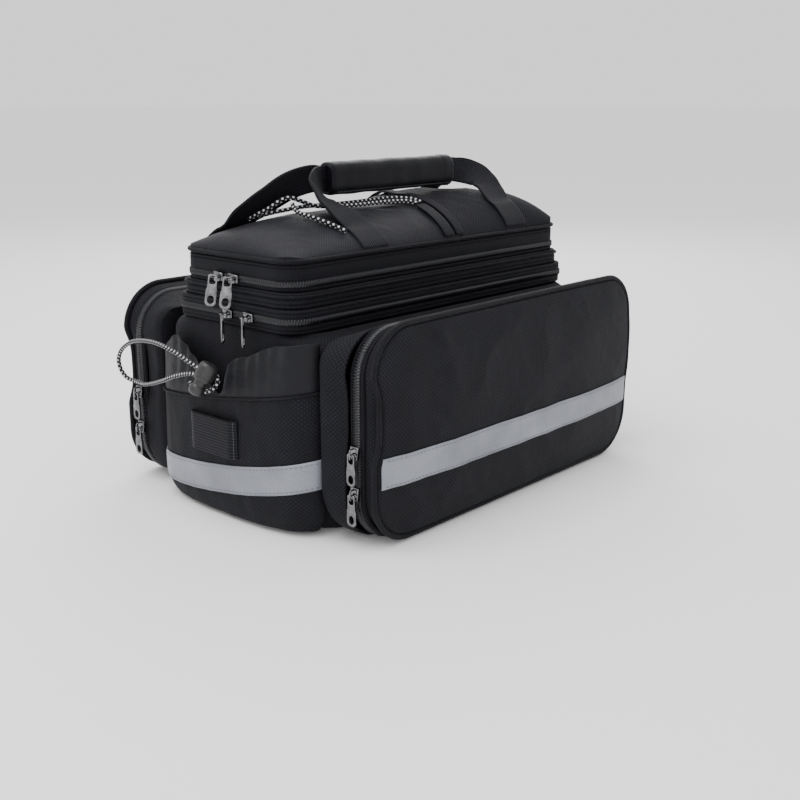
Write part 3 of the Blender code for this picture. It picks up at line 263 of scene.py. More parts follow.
def mottled(name, tone, roughness, metallic, scale, depth, edge):
    look = Looks(name, plain(tone), roughness, Metallic=metallic)
    # darker and lighter patches at random in the colour
    patch, fine = look.noise(scale, 5.0), look.noise(scale * 9, 2.0)
    look.colour(look.ramp(patch, shades(tone, ((0.3, 1 - edge), (0.55, 1.0), (0.8, 1 + edge)), plain)))
    look.rough(look.times(patch, fine), roughness - 0.08, roughness + 0.3)
    look.bump(fine, depth, 0.1 * mm)
    return look.made


def toothed(name, tone, pitch):
    look = Looks(name, grey(tone), 0.34, Specular_IOR_Level=0.45)
    _, v = look.weaveAxes()
    wave = look.span(look.wave(v, pitch))
    # painted shade and painted highlight: the coil is painted dark in the valleys between the teeth and lighter
    # on the tooth tops, with a little random tone
    mixed = look.total(wave, 0.8, look.noise(400.0, 2.0), 0.2)
    look.colour(look.ramp(mixed, shades(tone, ((0.3, 0.06), (0.6, 0.6), (0.9, 1.7)))))
    look.bump(wave, 0.8, 0.5 * mm)
    return look.made


def sewingThread():
    look = Looks("sewingThread", grey(0.05), 0.6, Sheen_Weight=0.2)
    twist = look.node("ShaderNodeTexWave", {"Vector": look.place(), "Scale": 700.0}).outputs["Fac"]
    look.colour(look.ramp(twist, ((0.2, grey(0.02)), (0.8, grey(0.085)))))
    look.bump(twist, 0.4, 0.1 * mm)
    return look.made


coilPitch = 1.9
# each finish and the material slot that it stands for
paints = {
    "cloth": (basketCloth("blackOxford", 0.0055, 1.4 * mm, 0.72, 0.9, 0.01), "woven_cloth"),
    # the lid's copy of the same Oxford has a lighter tone, a painted highlight for the lit top of the lid
    "litLidCloth": (basketCloth("litLidOxford", 0.0075, 1.1 * mm, 0.58, 0.6, 0.015), "woven_cloth"),
    "tubCloth": (basketCloth("tubOxford", 0.005, 1.4 * mm, 0.74, 0.9, 0.01), "woven_cloth"),
    "mesh": (ribbedCloth("sandwichMesh", 0.0055, 2.1 * mm, radians(35), 0.8, 0.9), "mesh_cloth"),
    "tape": (ribbedCloth("zipperTape", 0.0045, 0.9 * mm, 0.0, 0.75), "zipper_tape"),
    "webbing": (ribbedCloth("webbing", 0.0055, 2.0 * mm, 0.0, 0.62), "webbing"),
    "binding": (ribbedCloth("bindingTape", 0.006, 1.1 * mm, radians(90), 0.7), "webbing"),
    "piping": (ribbedCloth("pipingCloth", 0.007, 1.3 * mm, radians(50), 0.64), "piping"),
    "nylon": (smoothNylon("thinNylon", 0.0040, 0.44, 0.19), "thin_nylon"),
    "grip": (smoothNylon("gripNylon", 0.0030, 0.42, 0.12), "thin_nylon"),
    "coil": (toothed("coilNylon", 0.014, coilPitch * mm), "zipper_tape"),
    "reflector": (reflectiveTape(), "reflective_tape"),
    "cord": (fleckedCord(), "elastic_cord"),
    "metal": (mottled("pullMetal", 0.17, 0.2, 1.0, 260.0, 0.12, 0.45), "pull_metal"),
    "plastic": (mottled("lockPlastic", 0.014, 0.4, 0.0, 180.0, 0.15, 0.25), "lock_plastic"),
    "thread": (sewingThread(), "reflective_tape"),
}
print("materials ready")


# Shared shapes
def finishPiece(name, shape, paint, node=None, wall=0.0, boxed=False, smooth=55, body="bag", slotName=None):
    if boxed:
        boxMap(shape)
    mesh = bpy.data.meshes.new(name)
    shape.to_mesh(mesh)
    shape.free()
    mesh.materials.append(paints[paint][0])
    mesh.shade_smooth()
    mesh.set_sharp_from_angle(angle=radians(smooth))
    piece = addToScene(name, mesh)
    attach(piece, body)
    slotName or paints[paint][1]
    if node:
        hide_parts(node)
    if wall:
        solid = piece.modifiers.new("wall", "SOLIDIFY")
        solid.thickness = wall
        solid.offset = -1.0
        solid.use_even_offset = False
    return piece


def boxMap(shape):
    layer = shape.loops.layers.uv.get("weaveMap") or shape.loops.layers.uv.new("weaveMap")
    shape.normal_update()
    for face in shape.faces:
        n = face.normal
        if abs(n.z) > abs(n.x) and abs(n.z) > abs(n.y):
            pick = (0, 1)
        else:
            pick = (1, 2) if abs(n.x) > abs(n.y) else (0, 2)
        for loop in face.loops:
            loop[layer].uv = (loop.vert.co[pick[0]], loop.vert.co[pick[1]])


def gridShape(across, along, place, size=(1.0, 1.0)):
    # place(u, v) bends a flat grid, and size is the flat size of the cloth
    shape = bmesh.new()
    bmesh.ops.create_grid(shape, x_segments=across, y_segments=along, size=0.5)
    layer = shape.loops.layers.uv.new("weaveMap")
    for face in shape.faces:
        for loop in face.loops:
            spot = loop.vert.co
            loop[layer].uv = ((spot.x + 0.5) * size[0], (spot.y + 0.5) * size[1])
    for vert in shape.verts:
        vert.co = place(vert.co.x + 0.5, vert.co.y + 0.5)
    bmesh.ops.remove_doubles(shape, verts=shape.verts, dist=0.000002)
    bmesh.ops.recalc_face_normals(shape, faces=shape.faces)
    return shape


def turnOutward(piece):
    # an open sheet on the front end faces -X
    if sum(face.normal.x * face.area for face in piece.data.polygons) > 0:
        piece.data.flip_normals()
    return piece


def ease(t):
    t = min(1.0, max(0.0, t))
    return t * t * (3 - 2 * t)


def easeOver(value, low, high):
    return ease((value - low) / (high - low))


def rowAt(table, value):
    # a smooth curve through the table's rows, whose first column is the place
    if value <= table[0][0]:
        return table[0]
    if value >= table[-1][0]:
        return table[-1]
    k = 0
    while table[k + 1][0] < value:
        k += 1
    a, b = table[k], table[k + 1]
    before, after = table[max(0, k - 1)], table[min(len(table) - 1, k + 2)]
    width = b[0] - a[0]
    t = (value - a[0]) / width
    row = []
    for i in range(len(a)):
        m0 = (b[i] - before[i]) / (b[0] - before[0]) * width
        m1 = (after[i] - a[i]) / (after[0] - a[0]) * width
        row.append((2 * t ** 3 - 3 * t ** 2 + 1) * a[i] + (t ** 3 - 2 * t ** 2 + t) * m0
                   + (3 * t ** 2 - 2 * t ** 3) * b[i] + (t ** 3 - t ** 2) * m1)
    return row


def outlineAt(t, halfX, halfY, corner, legs):
    # point and normal at share t of a rounded rectangle, each quarter of it a half side, an arc and a half side
    k, l = divmod((t % 1.0) * 4, 1.0)
    k = int(k) % 4
    d = ((1 - l) if k in (1, 3) else l) * sum(legs)
    if d <= legs[0]:
        x, y, n = halfX, (halfY - corner) * d / legs[0], (1.0, 0.0)
    elif d <= legs[0] + legs[1]:
        angle = (d - legs[0]) / legs[1] * pi / 2
        n = (cos(angle), sin(angle))
        x, y = halfX - corner + corner * n[0], halfY - corner + corner * n[1]
    else:
        x, y, n = (halfX - corner) * (1 - (d - legs[0] - legs[1]) / legs[2]), halfY, (0.0, 1.0)
    sx, sy = ((1, 1), (-1, 1), (-1, -1), (1, -1))[k]
    return x * sx, y * sy, n[0] * sx, n[1] * sy


def legsOf(halfX, halfY, corner):
    return (halfY - corner, corner * pi / 2, halfX - corner)


def lengthsOf(points):
    lengths = [0.0]
    for p, q in zip(points, points[1:]):
        lengths.append(lengths[-1] + (q - p).length)
    return lengths


def between(items, spot):
    # the two neighbours of a place in a list, and the share of the way from one to the other
    k = min(len(items) - 2, int(spot))
    return items[k], items[k + 1], spot - k


def smoothRoute(points, spacing):
    dense = []
    ends = [2 * points[0] - points[1]] + list(points) + [2 * points[-1] - points[-2]]
    for a, b, c, d in zip(ends, ends[1:], ends[2:], ends[3:]):
        for i in range(12):
            t = i / 12
            dense.append(0.5 * (2 * b + (c - a) * t + (2 * a - 5 * b + 4 * c - d) * t * t
                                + (3 * b - a - 3 * c + d) * t ** 3))
    dense.append(points[-1])
    steps = lengthsOf(dense)
    count = max(2, round(steps[-1] / spacing))
    placed, k = [], 0
    for i in range(count + 1):
        goal = steps[-1] * i / count
        while k < len(steps) - 2 and steps[k + 1] < goal:
            k += 1
        placed.append(dense[k].lerp(dense[k + 1], (goal - steps[k]) / (steps[k + 1] - steps[k])))
    return placed


def tubeShape(points, radius, sides=12, closed=False):
    count = len(points)
    tangents = []
    for i in range(count):
        a = points[(i - 1) % count] if closed or i else points[0]
        b = points[(i + 1) % count] if closed or i < count - 1 else points[-1]
        tangents.append((b - a).normalized())
    normals = [tangents[0].orthogonal().normalized()]
    for tangent in tangents[1:]:
        n = normals[-1] - tangent * normals[-1].dot(tangent)
        normals.append(n.normalized())
    lengths = lengthsOf(points)
    shape = bmesh.new()
    layer = shape.loops.layers.uv.new("weaveMap")
    rings = []
    for point, tangent, normal in zip(points, tangents, normals):
        made = bmesh.ops.create_circle(shape, segments=sides, radius=radius)["verts"]
        turn = Matrix((normal, tangent.cross(normal), tangent)).transposed().to_4x4()
        turn.translation = point
        bmesh.ops.transform(shape, matrix=turn, verts=made)
        rings.append(made)
    for a in range(count if closed else count - 1):
        b = (a + 1) % count
        far = lengths[a] + (points[b] - points[a]).length
        for j in range(sides):
            k = (j + 1) % sides
            face = shape.faces.new((rings[a][j], rings[a][k], rings[b][k], rings[b][j]))
            spots = ((lengths[a], j), (lengths[a], j + 1), (far, j + 1), (far, j))
            for loop, (u, v) in zip(face.loops, spots):
                loop[layer].uv = (u, v / sides)
    if not closed:
        shape.faces.new(rings[0])
        shape.faces.new(rings[-1])
    bmesh.ops.recalc_face_normals(shape, faces=shape.faces)
    return shape


ringSteps = 420
stripSeam = {"pitch": 3.4 * mm, "length": 2.3 * mm, "width": 0.45 * mm, "lift": 0.15 * mm}


def ringTube(name, pointAt, radius, sides, node=None):
    # a sewn-in cord round a closed outline
    points = [pointAt(i / ringSteps) for i in range(ringSteps)]
    finishPiece(name, tubeShape(points, radius * mm, sides, closed=True), "piping", node)


def stitches(name, lines, length, width, slotName):
    # each line is a list of points, a list of upward directions and a pitch
    shape = bmesh.new()
    for points, ups, pitch in lines:
        travelled, goal = 0.0, pitch / 2
        for i in range(len(points) - 1):
            step = points[i + 1] - points[i]
            along = step.normalized()
            while goal <= travelled + step.length:
                t = (goal - travelled) / step.length
                up = ups[i].lerp(ups[i + 1], t)
                side = up.cross(along).normalized()
                turn = Matrix((along * length / 2, side * width / 2, up.normalized() * width / 2))
                place = turn.transposed().to_4x4()
                place.translation = points[i].lerp(points[i + 1], t)
                bmesh.ops.create_icosphere(shape, subdivisions=1, radius=1.0, matrix=place)
                goal += pitch
            travelled += step.length
    finishPiece(name, shape, "thread", slotName=slotName)


# Cords
cordFacts = {"diameter": 3.0 * mm, "spacing": 2.4 * mm, "sides": 14}
cordRoutes = {
    "drawstringLoop": (
        (-177.3, 1.4, 106.0), (-177.0, 12, 108.8), (-176.0, 26, 112.0), (-174.0, 40, 113.5),
        (-171.0, 56, 113.8), (-168.5, 72, 112.5), (-166.0, 88, 109.5), (-164.0, 101, 104.5),
        (-161.9, 112, 97.8), (-160.2, 118, 90.0), (-158.9, 117.7, 82.5), (-158.6, 111, 77.6),
        (-158.8, 101, 76.8), (-163.0, 84, 78.2), (-167.8, 65, 83.3), (-171.5, 48, 89.0),
        (-174.5, 32, 95.0), (-176.5, 18, 99.3), (-178.0, 9, 101.4), (-178.4, 2.2, 102.1),
    ),
    "drawstringTail": (
        (-169.15, -5.6, 101.1), (-168.4, -6.3, 99.3), (-168.6, -6.0, 95.5), (-170.0, -3, 91.5),
        (-170.8, 3, 88.9), (-170.6, 11, 87.9), (-169.0, 18, 88.3), (-167.0, 23, 89.0), (-165.2, 27.6, 89.9),
    ),
    "bungeeFront": (
        (5.4, -25.6, 200.8), (0.8, -20.6, 202.2), (-8.2, -17.5, 202.6), (-22.2, -14.5, 202.4),
        (-38.2, -12.4, 202.0), (-52.1, -9.3, 201.8), (-64.1, -5.2, 202.0), (-74.2, -1.0, 203.0),
        (-82.5, 3.3, 206.5), (-89.8, 6.7, 208.9), (-95.9, 9.8, 206.7), (-100.7, 14.8, 202.2),
        (-104.4, 21.8, 198.1), (-107.2, 29.6, 194.0),
    ),
    "bungeeBack": (
        (10.4, -25.7, 201.2), (7.8, -18.5, 203.3), (-2.2, -10.3, 204.2), (-16.2, -5.2, 203.7),
        (-32.2, -2.1, 202.9), (-48.1, 2.1, 202.3), (-62.1, 6.2, 202.0), (-76.1, 10.4, 201.4),
        (-86.2, 13.4, 200.1), (-94.2, 17.5, 198.7), (-99.7, 23.0, 196.8), (-101.2, 29.1, 194.7),
    ),
    "bungeeSide": (
        (-91.1, 2.1, 205.0), (-93.4, -2.1, 202.4), (-95.3, -8.3, 200.3), (-95.8, -15.4, 199.1),
        (-94.7, -22.6, 197.7), (-92.2, -29.7, 195.6), (-88.6, -36.8, 192.8), (-85.0, -42.8, 189.6),
    ),
}
# the cord's node, its real length in metres and how it lies
cordNodes = {
    "drawstringLoop": ("drawstring_loop", 0.256, "hanging"),
    "drawstringTail": ("drawstring_tail", 0.043, "hanging"),
    "bungeeFront": ("bungee_front", 0.137, "loose"),
    "bungeeBack": ("bungee_back", 0.132, "loose"),
    "bungeeSide": ("bungee_side", 0.051, "loose"),
}
cordPieces, cordPaths = {}, {}
for label, (node, length, lay) in cordNodes.items():
    cordPaths[label] = smoothRoute([Vector(p) * mm for p in cordRoutes[label]], cordFacts["spacing"])
    shape = tubeShape(cordPaths[label], cordFacts["diameter"] / 2, cordFacts["sides"])
    cordPieces[label] = finishPiece(label, shape, "cord", node)
print("cords ready")


# Tub
tub = {
    "halfX": 150 * mm, "halfY": 80 * mm, "corner": 26 * mm, "height": 131 * mm, "crown": 20 * mm,
    "wall": 2.8 * mm, "under": 0.2,
    # shares of the height, length, width, crown and corner
    "rows": (
        (0.000, 0.905, 0.930, 0.30, 0.80), (0.012, 0.935, 0.958, 0.45, 0.90),
        (0.040, 0.965, 0.975, 0.62, 0.96), (0.120, 1.000, 1.000, 0.92, 1.00),
        (0.360, 1.000, 1.000, 1.00, 1.00), (0.700, 1.000, 1.000, 0.72, 1.00),
        (0.900, 1.000, 0.985, 0.28, 1.00), (0.955, 0.998, 0.935, 0.12, 1.00),
        (1.000, 0.993, 0.800, 0.00, 1.00),
    ),
    # depth, scale, seed
    "dents": ((1.26 * mm, 34, 3.1), (0.45 * mm, 110, 8.2)),
}


def crownShare(share):
    return max(0.0, 1.0 - abs(share) ** 3) ** 0.6


def crease(x, y, z, scale, seed):
    return noise.noise(Vector((x * scale + seed, y * scale - seed, z * scale + 0.5 * seed)))


def tubPoint(t, level):
    # below level 0 lies the underside, from its middle to its edge
    share = min(1.0, 1.0 + level)
    level = max(0.0, level)
    _, length, width, bulge, corner = rowAt(tub["rows"], level)
    halfX, halfY = tub["halfX"] * length * share, tub["halfY"] * width * share
    legs = legsOf(tub["halfX"], tub["halfY"], tub["corner"])
    x, y, nx, ny = outlineAt(t, halfX, halfY, tub["corner"] * corner * share, legs)
    z = tub["height"] * level
    reach = max(0.0, (x - halfX + tub["corner"] * share) / (tub["corner"] * share + 1e-9))
    x += tub["crown"] * bulge * reach * crownShare(y / (halfY + 1e-9)) * share
    if level > 0.02:
        quiet = min(1.0, level * 6) * min(1.0, (1.0 - level) * 6)
        dent = abs(sum(depth * crease(x, y, z, scale, seed) for depth, scale, seed in tub["dents"])) * quiet
        x -= nx * dent
        y -= ny * dent
    return Vector((x, y, z))


def tubPlace(u, v):
    under = tub["under"]
    return tubPoint(u, (v - under) / (1 - under) if v > under else v / under - 1.0)


finishPiece("tubShell", gridShape(220, 70, tubPlace), "tubCloth", "main_body", tub["wall"], boxed=True)
print("tub ready")


# Zip bands
bands = {
    # lips: how far in the lower lip lies, how far it drops, and how far the upper lip rises
    "lower": {"half": (150.5, 60.5), "z": (131.3, 146.3), "coil": 138.8, "lips": (4.6, 2.0, 0.0)},
    "expander": {"half": (148.5, 57.5), "z": (146.6, 156.6), "lips": (1.2, 1.5, 0.0)},
    "upper": {"half": (146.5, 54.5), "z": (156.9, 173.9), "coil": 161.5, "lips": (1.2, 1.5, 1.5)},
    "lip": 1.0, "lipGap": 0.4, "corner": 16.0, "wall": 2.2, "coilWidth": 4.8, "coilHigh": 1.2, "coilOut": 0.6,
    "weltRadius": 1.0, "weltDrop": 2.2, "ripple": 0.35 * mm,
}


def bandRing(half, t, out, z):
    corner = bands["corner"]
    legs = legsOf(half[0], half[1], corner)
    x, y, nx, ny = outlineAt(t, half[0] + out, half[1] + out, corner + out, legs)
    return Vector((x, y, z)) * mm, Vector((nx, ny, 0.0))


def alongSection(section, share):
    # a section lists outset and height or depth round a closed loop
    spot = (share * len(section)) % len(section)
    k = int(spot)
    a, b = section[k], section[(k + 1) % len(section)]
    return a[0] + (b[0] - a[0]) * (spot - k), a[1] + (b[1] - a[1]) * (spot - k)


def closedBand(name, key, section, paint, node):
    half = bands[key]["half"]
    section = section + tongues(*bands[key]["z"], *bands[key]["lips"])

    def place(u, v):
        out, z = alongSection(section, u)
        point, normal = bandRing(half, v, out, z)
        if out > -0.5:
            point += normal * bands["ripple"] * crease(point.x, point.y, point.z, 60, 5.0)
        return point
    finishPiece(name, gridShape(2 * len(section), ringSteps, place), paint, node, boxed=True)


def coilPiece(name, ring, length, width, high):
    # ring(t) gives the coil's middle, its outward direction and the direction across it
    teeth = int(length / (coilPitch * mm))

    def place(u, v):
        middle, out, across = ring(v)
        angle = pi * u * 2
        side, lift = cos(angle), max(0.0, sin(angle))
        tooth = 0.5 + 0.5 * cos(v * teeth * 2 * pi + (0 if side > 0 else pi))
        sink = 0.25 * mm if sin(angle) < 0 else 0.0
        return middle + across * (side * width / 2 * (0.74 + 0.26 * tooth)) \
            + out * (high * (lift ** 0.6) * (0.34 + 0.66 * tooth) - sink)
    finishPiece(name, gridShape(10, teeth * 4, place, (width * 2, length)), "coil", smooth=60)


def lidCoil(key):
    half = bands[key]["half"]

    def ring(t):
        return (*bandRing(half, t, bands["coilOut"], bands[key]["coil"]), Vector((0, 0, 1)))
    length = (4 * (half[0] + half[1]) - (8 - 2 * pi) * bands["corner"]) * mm
    coilPiece(key + "ZipCoil", ring, length, bands["coilWidth"] * mm, bands["coilHigh"] * mm)


def tapeSection(low, high, middle):
    # the outer side of a zip tape, with a fold near each edge and a step beside the coil
    lower = ((0.0, 0.0), (0.65, 0.5), (0.7, 1.7), (0.15, 2.1), (0.7, 2.5))
    step = ((0.75, -3.3), (0.5, -2.7), (0.5, 2.7), (0.75, 3.3))
    return tuple([(out, low + up) for out, up in lower] + [(out, middle + up) for out, up in step]
                 + [(out, high - up) for out, up in reversed(lower)])


def tongues(low, high, inset, drop, rise):
    # the inner side of a band, from its top to its bottom, with lips that lap behind the joints
    wall, lip, back = bands["wall"], bands["lip"], inset + bands["lip"]
    near = wall + bands["lipGap"]
    top = ((-wall, high), (-wall, high - 1.5))
    if rise:
        top = ((-near, high), (-near, high + rise), (-near - lip, high + rise), (-near - lip, high - 1.5))
    return top + ((-wall, high - 1.5), (-wall, low + 2.5), (-back, low + 2.5), (-back, low - drop),
                  (-inset, low - drop), (-inset, low))


def makeBands():
    for key in ("lower", "upper"):
        section = tapeSection(*bands[key]["z"], bands[key]["coil"])
        closedBand(key + "ZipTape", key, section, "tape", key + "_zipper")
        lidCoil(key)
    low, high = bands["expander"]["z"]
    rises = ((0.0, 0.0), (0.45, 0.3), (0.7, 1.3), (0.65, 2.3), (0.1, 2.7), (0.6, 3.1), (0.75, 4.4),
             (0.6, 5.5), (0.15, 5.9), (0.15, high - low - 0.4), (0.0, high - low))
    section = tuple((out, low + up) for out, up in rises)
    closedBand("expansionFold", "expander", section, "cloth", "expansion_band")
    half, out, z = bands["expander"]["half"], bands["weltRadius"] + 0.1, high - bands["weltDrop"]
    ringTube("expansionWelt", lambda t: bandRing(half, t, out, z)[0], bands["weltRadius"], 8)


makeBands()
print("zip bands ready")


# Lid
lid = {
    "plainRise": 22 * mm, "meshRise": 29 * mm, "skirt": 3 * mm, "edge": 177.2 * mm, "seamX": 20 * mm,
    "halfX": 146.5 * mm, "halfY": 54.5 * mm, "plainFall": (4.0, 0.5), "meshFall": (6.5, 0.6),
    "sideFall": (2.0, 0.7),
    "wall": 2.4 * mm, "pipingRadius": 1.4, "pipingOut": 0.9, "pipingHeight": 176.3, "seamGap": 0.15 * mm,
    "humpX": (-25 * mm, 100 * mm), "humpY": (2 * mm, 46 * mm), "hump": 4.5 * mm, "endSideFall": (3.4, 0.55),
    "skirtShare": 0.06, "bindingWidth": 8 * mm, "bindingThick": 1.2 * mm, "bindingHalf": 54 * mm,
    "stepX": (-60 * mm, 70 * mm), "fullX": (60 * mm, 130 * mm), "longCrease": 2.4 * mm, "shortCrease": 1.1 * mm,
    "tapeLift": 0.7 * mm, "tapeDip": 0.35 * mm, "tabX": 8 * mm, "tabWidth": 10 * mm, "tabLength": 24 * mm,
    "tabPast": 3 * mm, "footY": 51 * mm,
}


def lidHump(x, y):
    shares = []
    for value, (low, high) in ((x, lid["humpX"]), (y, lid["humpY"])):
        t = (value - low) / (high - low)
        shares.append(sin(pi * t) ** 2 if 0 < t < 1 else 0.0)
    return lid["hump"] * shares[0] ** 0.6 * shares[1]


def lidHeight(x, y, rough=True):
    step = easeOver(x, *lid["stepX"])
    rise = lid["plainRise"] + (lid["meshRise"] - lid["plainRise"]) * step
    place, whole = lid["plainFall"] if x < 0 else lid["meshFall"]
    along = max(0.0, 1.0 - abs(x / lid["halfX"]) ** place) ** whole
    full = easeOver(x, *lid["fullX"])
    place, whole = (a + (b - a) * full for a, b in zip(lid["sideFall"], lid["endSideFall"]))
    across = max(0.0, 1.0 - abs(y / lid["halfY"]) ** place) ** whole
    z = lid["edge"] + rise * along * across + lidHump(x, y)
    if rough:
        z -= lid["longCrease"] * abs(crease(x - 0.6 * y, y + 0.3 * x, 0.0, 24, 1.7)) * along * across
        z -= lid["shortCrease"] * abs(crease(x + y, (y - x) * 0.4, 0.0, 70, 6.3)) * along * across
    return z


def lidUp(x, y):
    step = 0.6 * mm
    slopeY = (lidHeight(x, y + step, False) - lidHeight(x, y - step, False)) / (2 * step)
    return Vector((0.0, -slopeY, 1.0)).normalized()


def lidPlace(u, v):
    corner, top = bands["corner"] * mm, 1.0 - lid["skirtShare"]
    share, down = (1.0, (v - top) / lid["skirtShare"]) if v > top else (sin(v / top * pi / 2), 0.0)
    legs = legsOf(lid["halfX"], lid["halfY"], corner)
    x, y, _, _ = outlineAt(u, lid["halfX"] * share, lid["halfY"] * share, corner * share, legs)
    z = lidHeight(x, y)
    return Vector((x, y, z + (lid["edge"] - lid["skirt"] - z) * down))


def makeLid():
    # the plain panel takes the lighter lid cloth, a painted highlight for the lit top
    panels = (("lidPlain", "litLidCloth", "lid_plain_panel", True), ("lidMesh", "mesh", "lid_mesh_panel", False))
    for name, paint, node, left in panels:
        shape = gridShape(260, 64, lidPlace)
        edge = lid["seamX"] + (-lid["seamGap"] if left else lid["seamGap"])
        bmesh.ops.bisect_plane(shape, geom=shape.verts[:] + shape.edges[:] + shape.faces[:], dist=0.000001,
                               plane_co=(edge, 0, 0), plane_no=(1, 0, 0), clear_outer=left,
                               clear_inner=not left)
        if any(face.normal.z < 0 and face.calc_center_median().z > 0.18 for face in shape.faces):
            bmesh.ops.reverse_faces(shape, faces=shape.faces[:])
        finishPiece(name, shape, paint, node, lid["wall"], boxed=True)
    half = bands["upper"]["half"]
    ringTube("lidPiping", lambda t: bandRing(half, t, lid["pipingOut"], lid["pipingHeight"])[0],
             lid["pipingRadius"], 10, "lid_piping")


def layTape(name, middleX, width, yAt, length, paint, node, steps):
    thick = lid["bindingThick"]

    def place(u, v):
        x, y = middleX + width * (u - 0.5), yAt(v)
        edgeDip = lid["tapeDip"] * (abs(2 * u - 1) ** 6)
        return Vector((x, y, lidHeight(x, y, False))) + lidUp(x, y) * (lid["tapeLift"] + thick - edgeDip)
    finishPiece(name, gridShape(12, steps, place, (width, length)), paint, node, thick)


def bindingY(v):
    arc = radians(76)
    return lid["bindingHalf"] * sin(arc * (2 * v - 1)) / sin(arc)


def tabY(v):
    return -lid["footY"] - lid["tabPast"] + (lid["tabLength"] + lid["tabPast"]) * v


makeLid()
layTape("seamBinding", lid["seamX"], lid["bindingWidth"], bindingY, 2 * lid["bindingHalf"], "binding",
        "lid_seam_binding", 60)
layTape("bungeeTab", lid["tabX"], lid["tabWidth"], tabY, lid["tabLength"], "webbing", "bungee_tab", 24)
print("lid ready")


# Handle
handle = {
    "strapWidth": 25 * mm, "strapThick": 1.6 * mm, "lift": 0.7 * mm, "gripLeft": -62 * mm,
    "gripRight": 70 * mm,
    "gripHigh": 23 * mm, "gripDeep": 16 * mm, "gripZ": 220.5 * mm, "apart": 2.6 * mm, "narrow": 17.4 * mm,
    "cup": 0.3 * mm, "step": 2.2 * mm, "slotHigh": 8.9 * mm, "slotDeep": 2.6 * mm, "slotCorner": 1.0 * mm,
    "feet": {"near": (-68 * mm, 89 * mm), "far": (-112 * mm, 86 * mm)},
    # share of the way along X, swing outwards, shares of the way along Y and Z, turn in degrees
    "nearLeft": ((0.00, 0.20, 0.20, 0.24, 8), (0.00, 0.40, 0.45, 0.52, 20), (0.12, 0.46, 0.68, 0.78, 40),
                 (0.50, 0.32, 0.86, 0.94, 62), (0.85, 0.12, 0.97, 1.00, 82)),
    "farLeft": ((0.10, 0.06, 0.18, 0.24, 6), (0.34, 0.06, 0.42, 0.55, 20), (0.58, 0.06, 0.68, 0.86, 42),
                (0.80, 0.02, 0.88, 1.00, 64), (0.95, 0.00, 0.98, 1.00, 82)),
    "right": ((0.05, 0.14, 0.25, 0.36, 6), (0.15, 0.24, 0.48, 0.66, 20), (0.30, 0.28, 0.70, 0.86, 42),
              (0.60, 0.24, 0.88, 0.97, 64), (0.90, 0.10, 0.98, 1.00, 82)),
}


def legRows(footX, side, gripX, strapY, leg):
    # middle, direction across and width, from the sewn foot up to the grip
    rows = []
    outwards = 1 if footX > 0 else -1
    for share in (-0.055, 0.0, 0.16, 0.30):
        y = side * lid["footY"] * (1 - share)
        foot = Vector((footX, y, lidHeight(footX, y, False)))
        lift = lidUp(footX, y) * (handle["lift"] + handle["strapThick"] / 2)
        rows.append((foot + lift, Vector((1, 0, 0)), handle["strapWidth"]))
    start = rows[-1][0]
    goal = Vector((gripX, strapY, handle["gripZ"]))
    for shareX, swing, shareY, shareZ, turn in leg:
        middle = Vector(a + (b - a) * share for a, b, share in zip(start, goal, (shareX, shareY, shareZ)))
        middle.x += outwards * swing * handle["strapWidth"]
        angle = outwards * radians(turn)
        width = handle["strapWidth"] + (handle["narrow"] - handle["strapWidth"]) * turn / 90
        rows.append((middle, Vector((cos(angle), 0, sin(angle))), width))
    return rows


def strapRows(label):
    side = -1 if label == "near" else 1
    strapY = side * handle["apart"] / 2
    leftX, rightX = handle["gripLeft"], handle["gripRight"]
    left = legRows(handle["feet"][label][0], side, leftX, strapY, handle[label + "Left"])
    right = legRows(handle["feet"][label][1], side, rightX, strapY, handle["right"])
    inside = [(Vector((leftX + (rightX - leftX) * i / 4, strapY, handle["gripZ"])), Vector((0, 0, -1)),
               handle["narrow"]) for i in range(5)]
    return left + inside + [(m, -w, width) for m, w, width in reversed(right)]


def makeStrap(label):
    rows = strapRows(label)
    middles = smoothRoute([r[0] for r in rows], handle["step"])
    # widths and directions follow the nearest rows along the length
    steps, lengths = lengthsOf([r[0] for r in rows]), lengthsOf(middles)
    frames, k = [], 0
    for i, point in enumerate(middles):
        goal = lengths[i] / lengths[-1] * steps[-1]
        while k < len(rows) - 2 and steps[k + 1] < goal:
            k += 1
        t = ease((goal - steps[k]) / (steps[k + 1] - steps[k]))
        wide = rows[k][1].lerp(rows[k + 1][1], t)
        width = rows[k][2] + (rows[k + 1][2] - rows[k][2]) * t
        tangent = (middles[min(i + 1, len(middles) - 1)] - middles[max(i - 1, 0)]).normalized()
        across = (wide - tangent * wide.dot(tangent)).normalized()
        frames.append((point, across, tangent.cross(across).normalized(), width))
    count = len(frames) - 1

    def place(u, v):
        a, b, t = between(frames, v * count)
        point, width = a[0].lerp(b[0], t), a[3] + (b[3] - a[3]) * t
        across, face = a[1].lerp(b[1], t).normalized(), a[2].lerp(b[2], t).normalized()
        cup = handle["cup"] * (2 * u - 1) ** 2
        return point + across * width * (u - 0.5) + face * (handle["strapThick"] / 2 - cup)
    shape = gridShape(14, count * 2, place, (handle["strapWidth"], lengths[-1]))
    finishPiece(label + "Strap", shape, "webbing", f"{label}_handle_strap", handle["strapThick"])


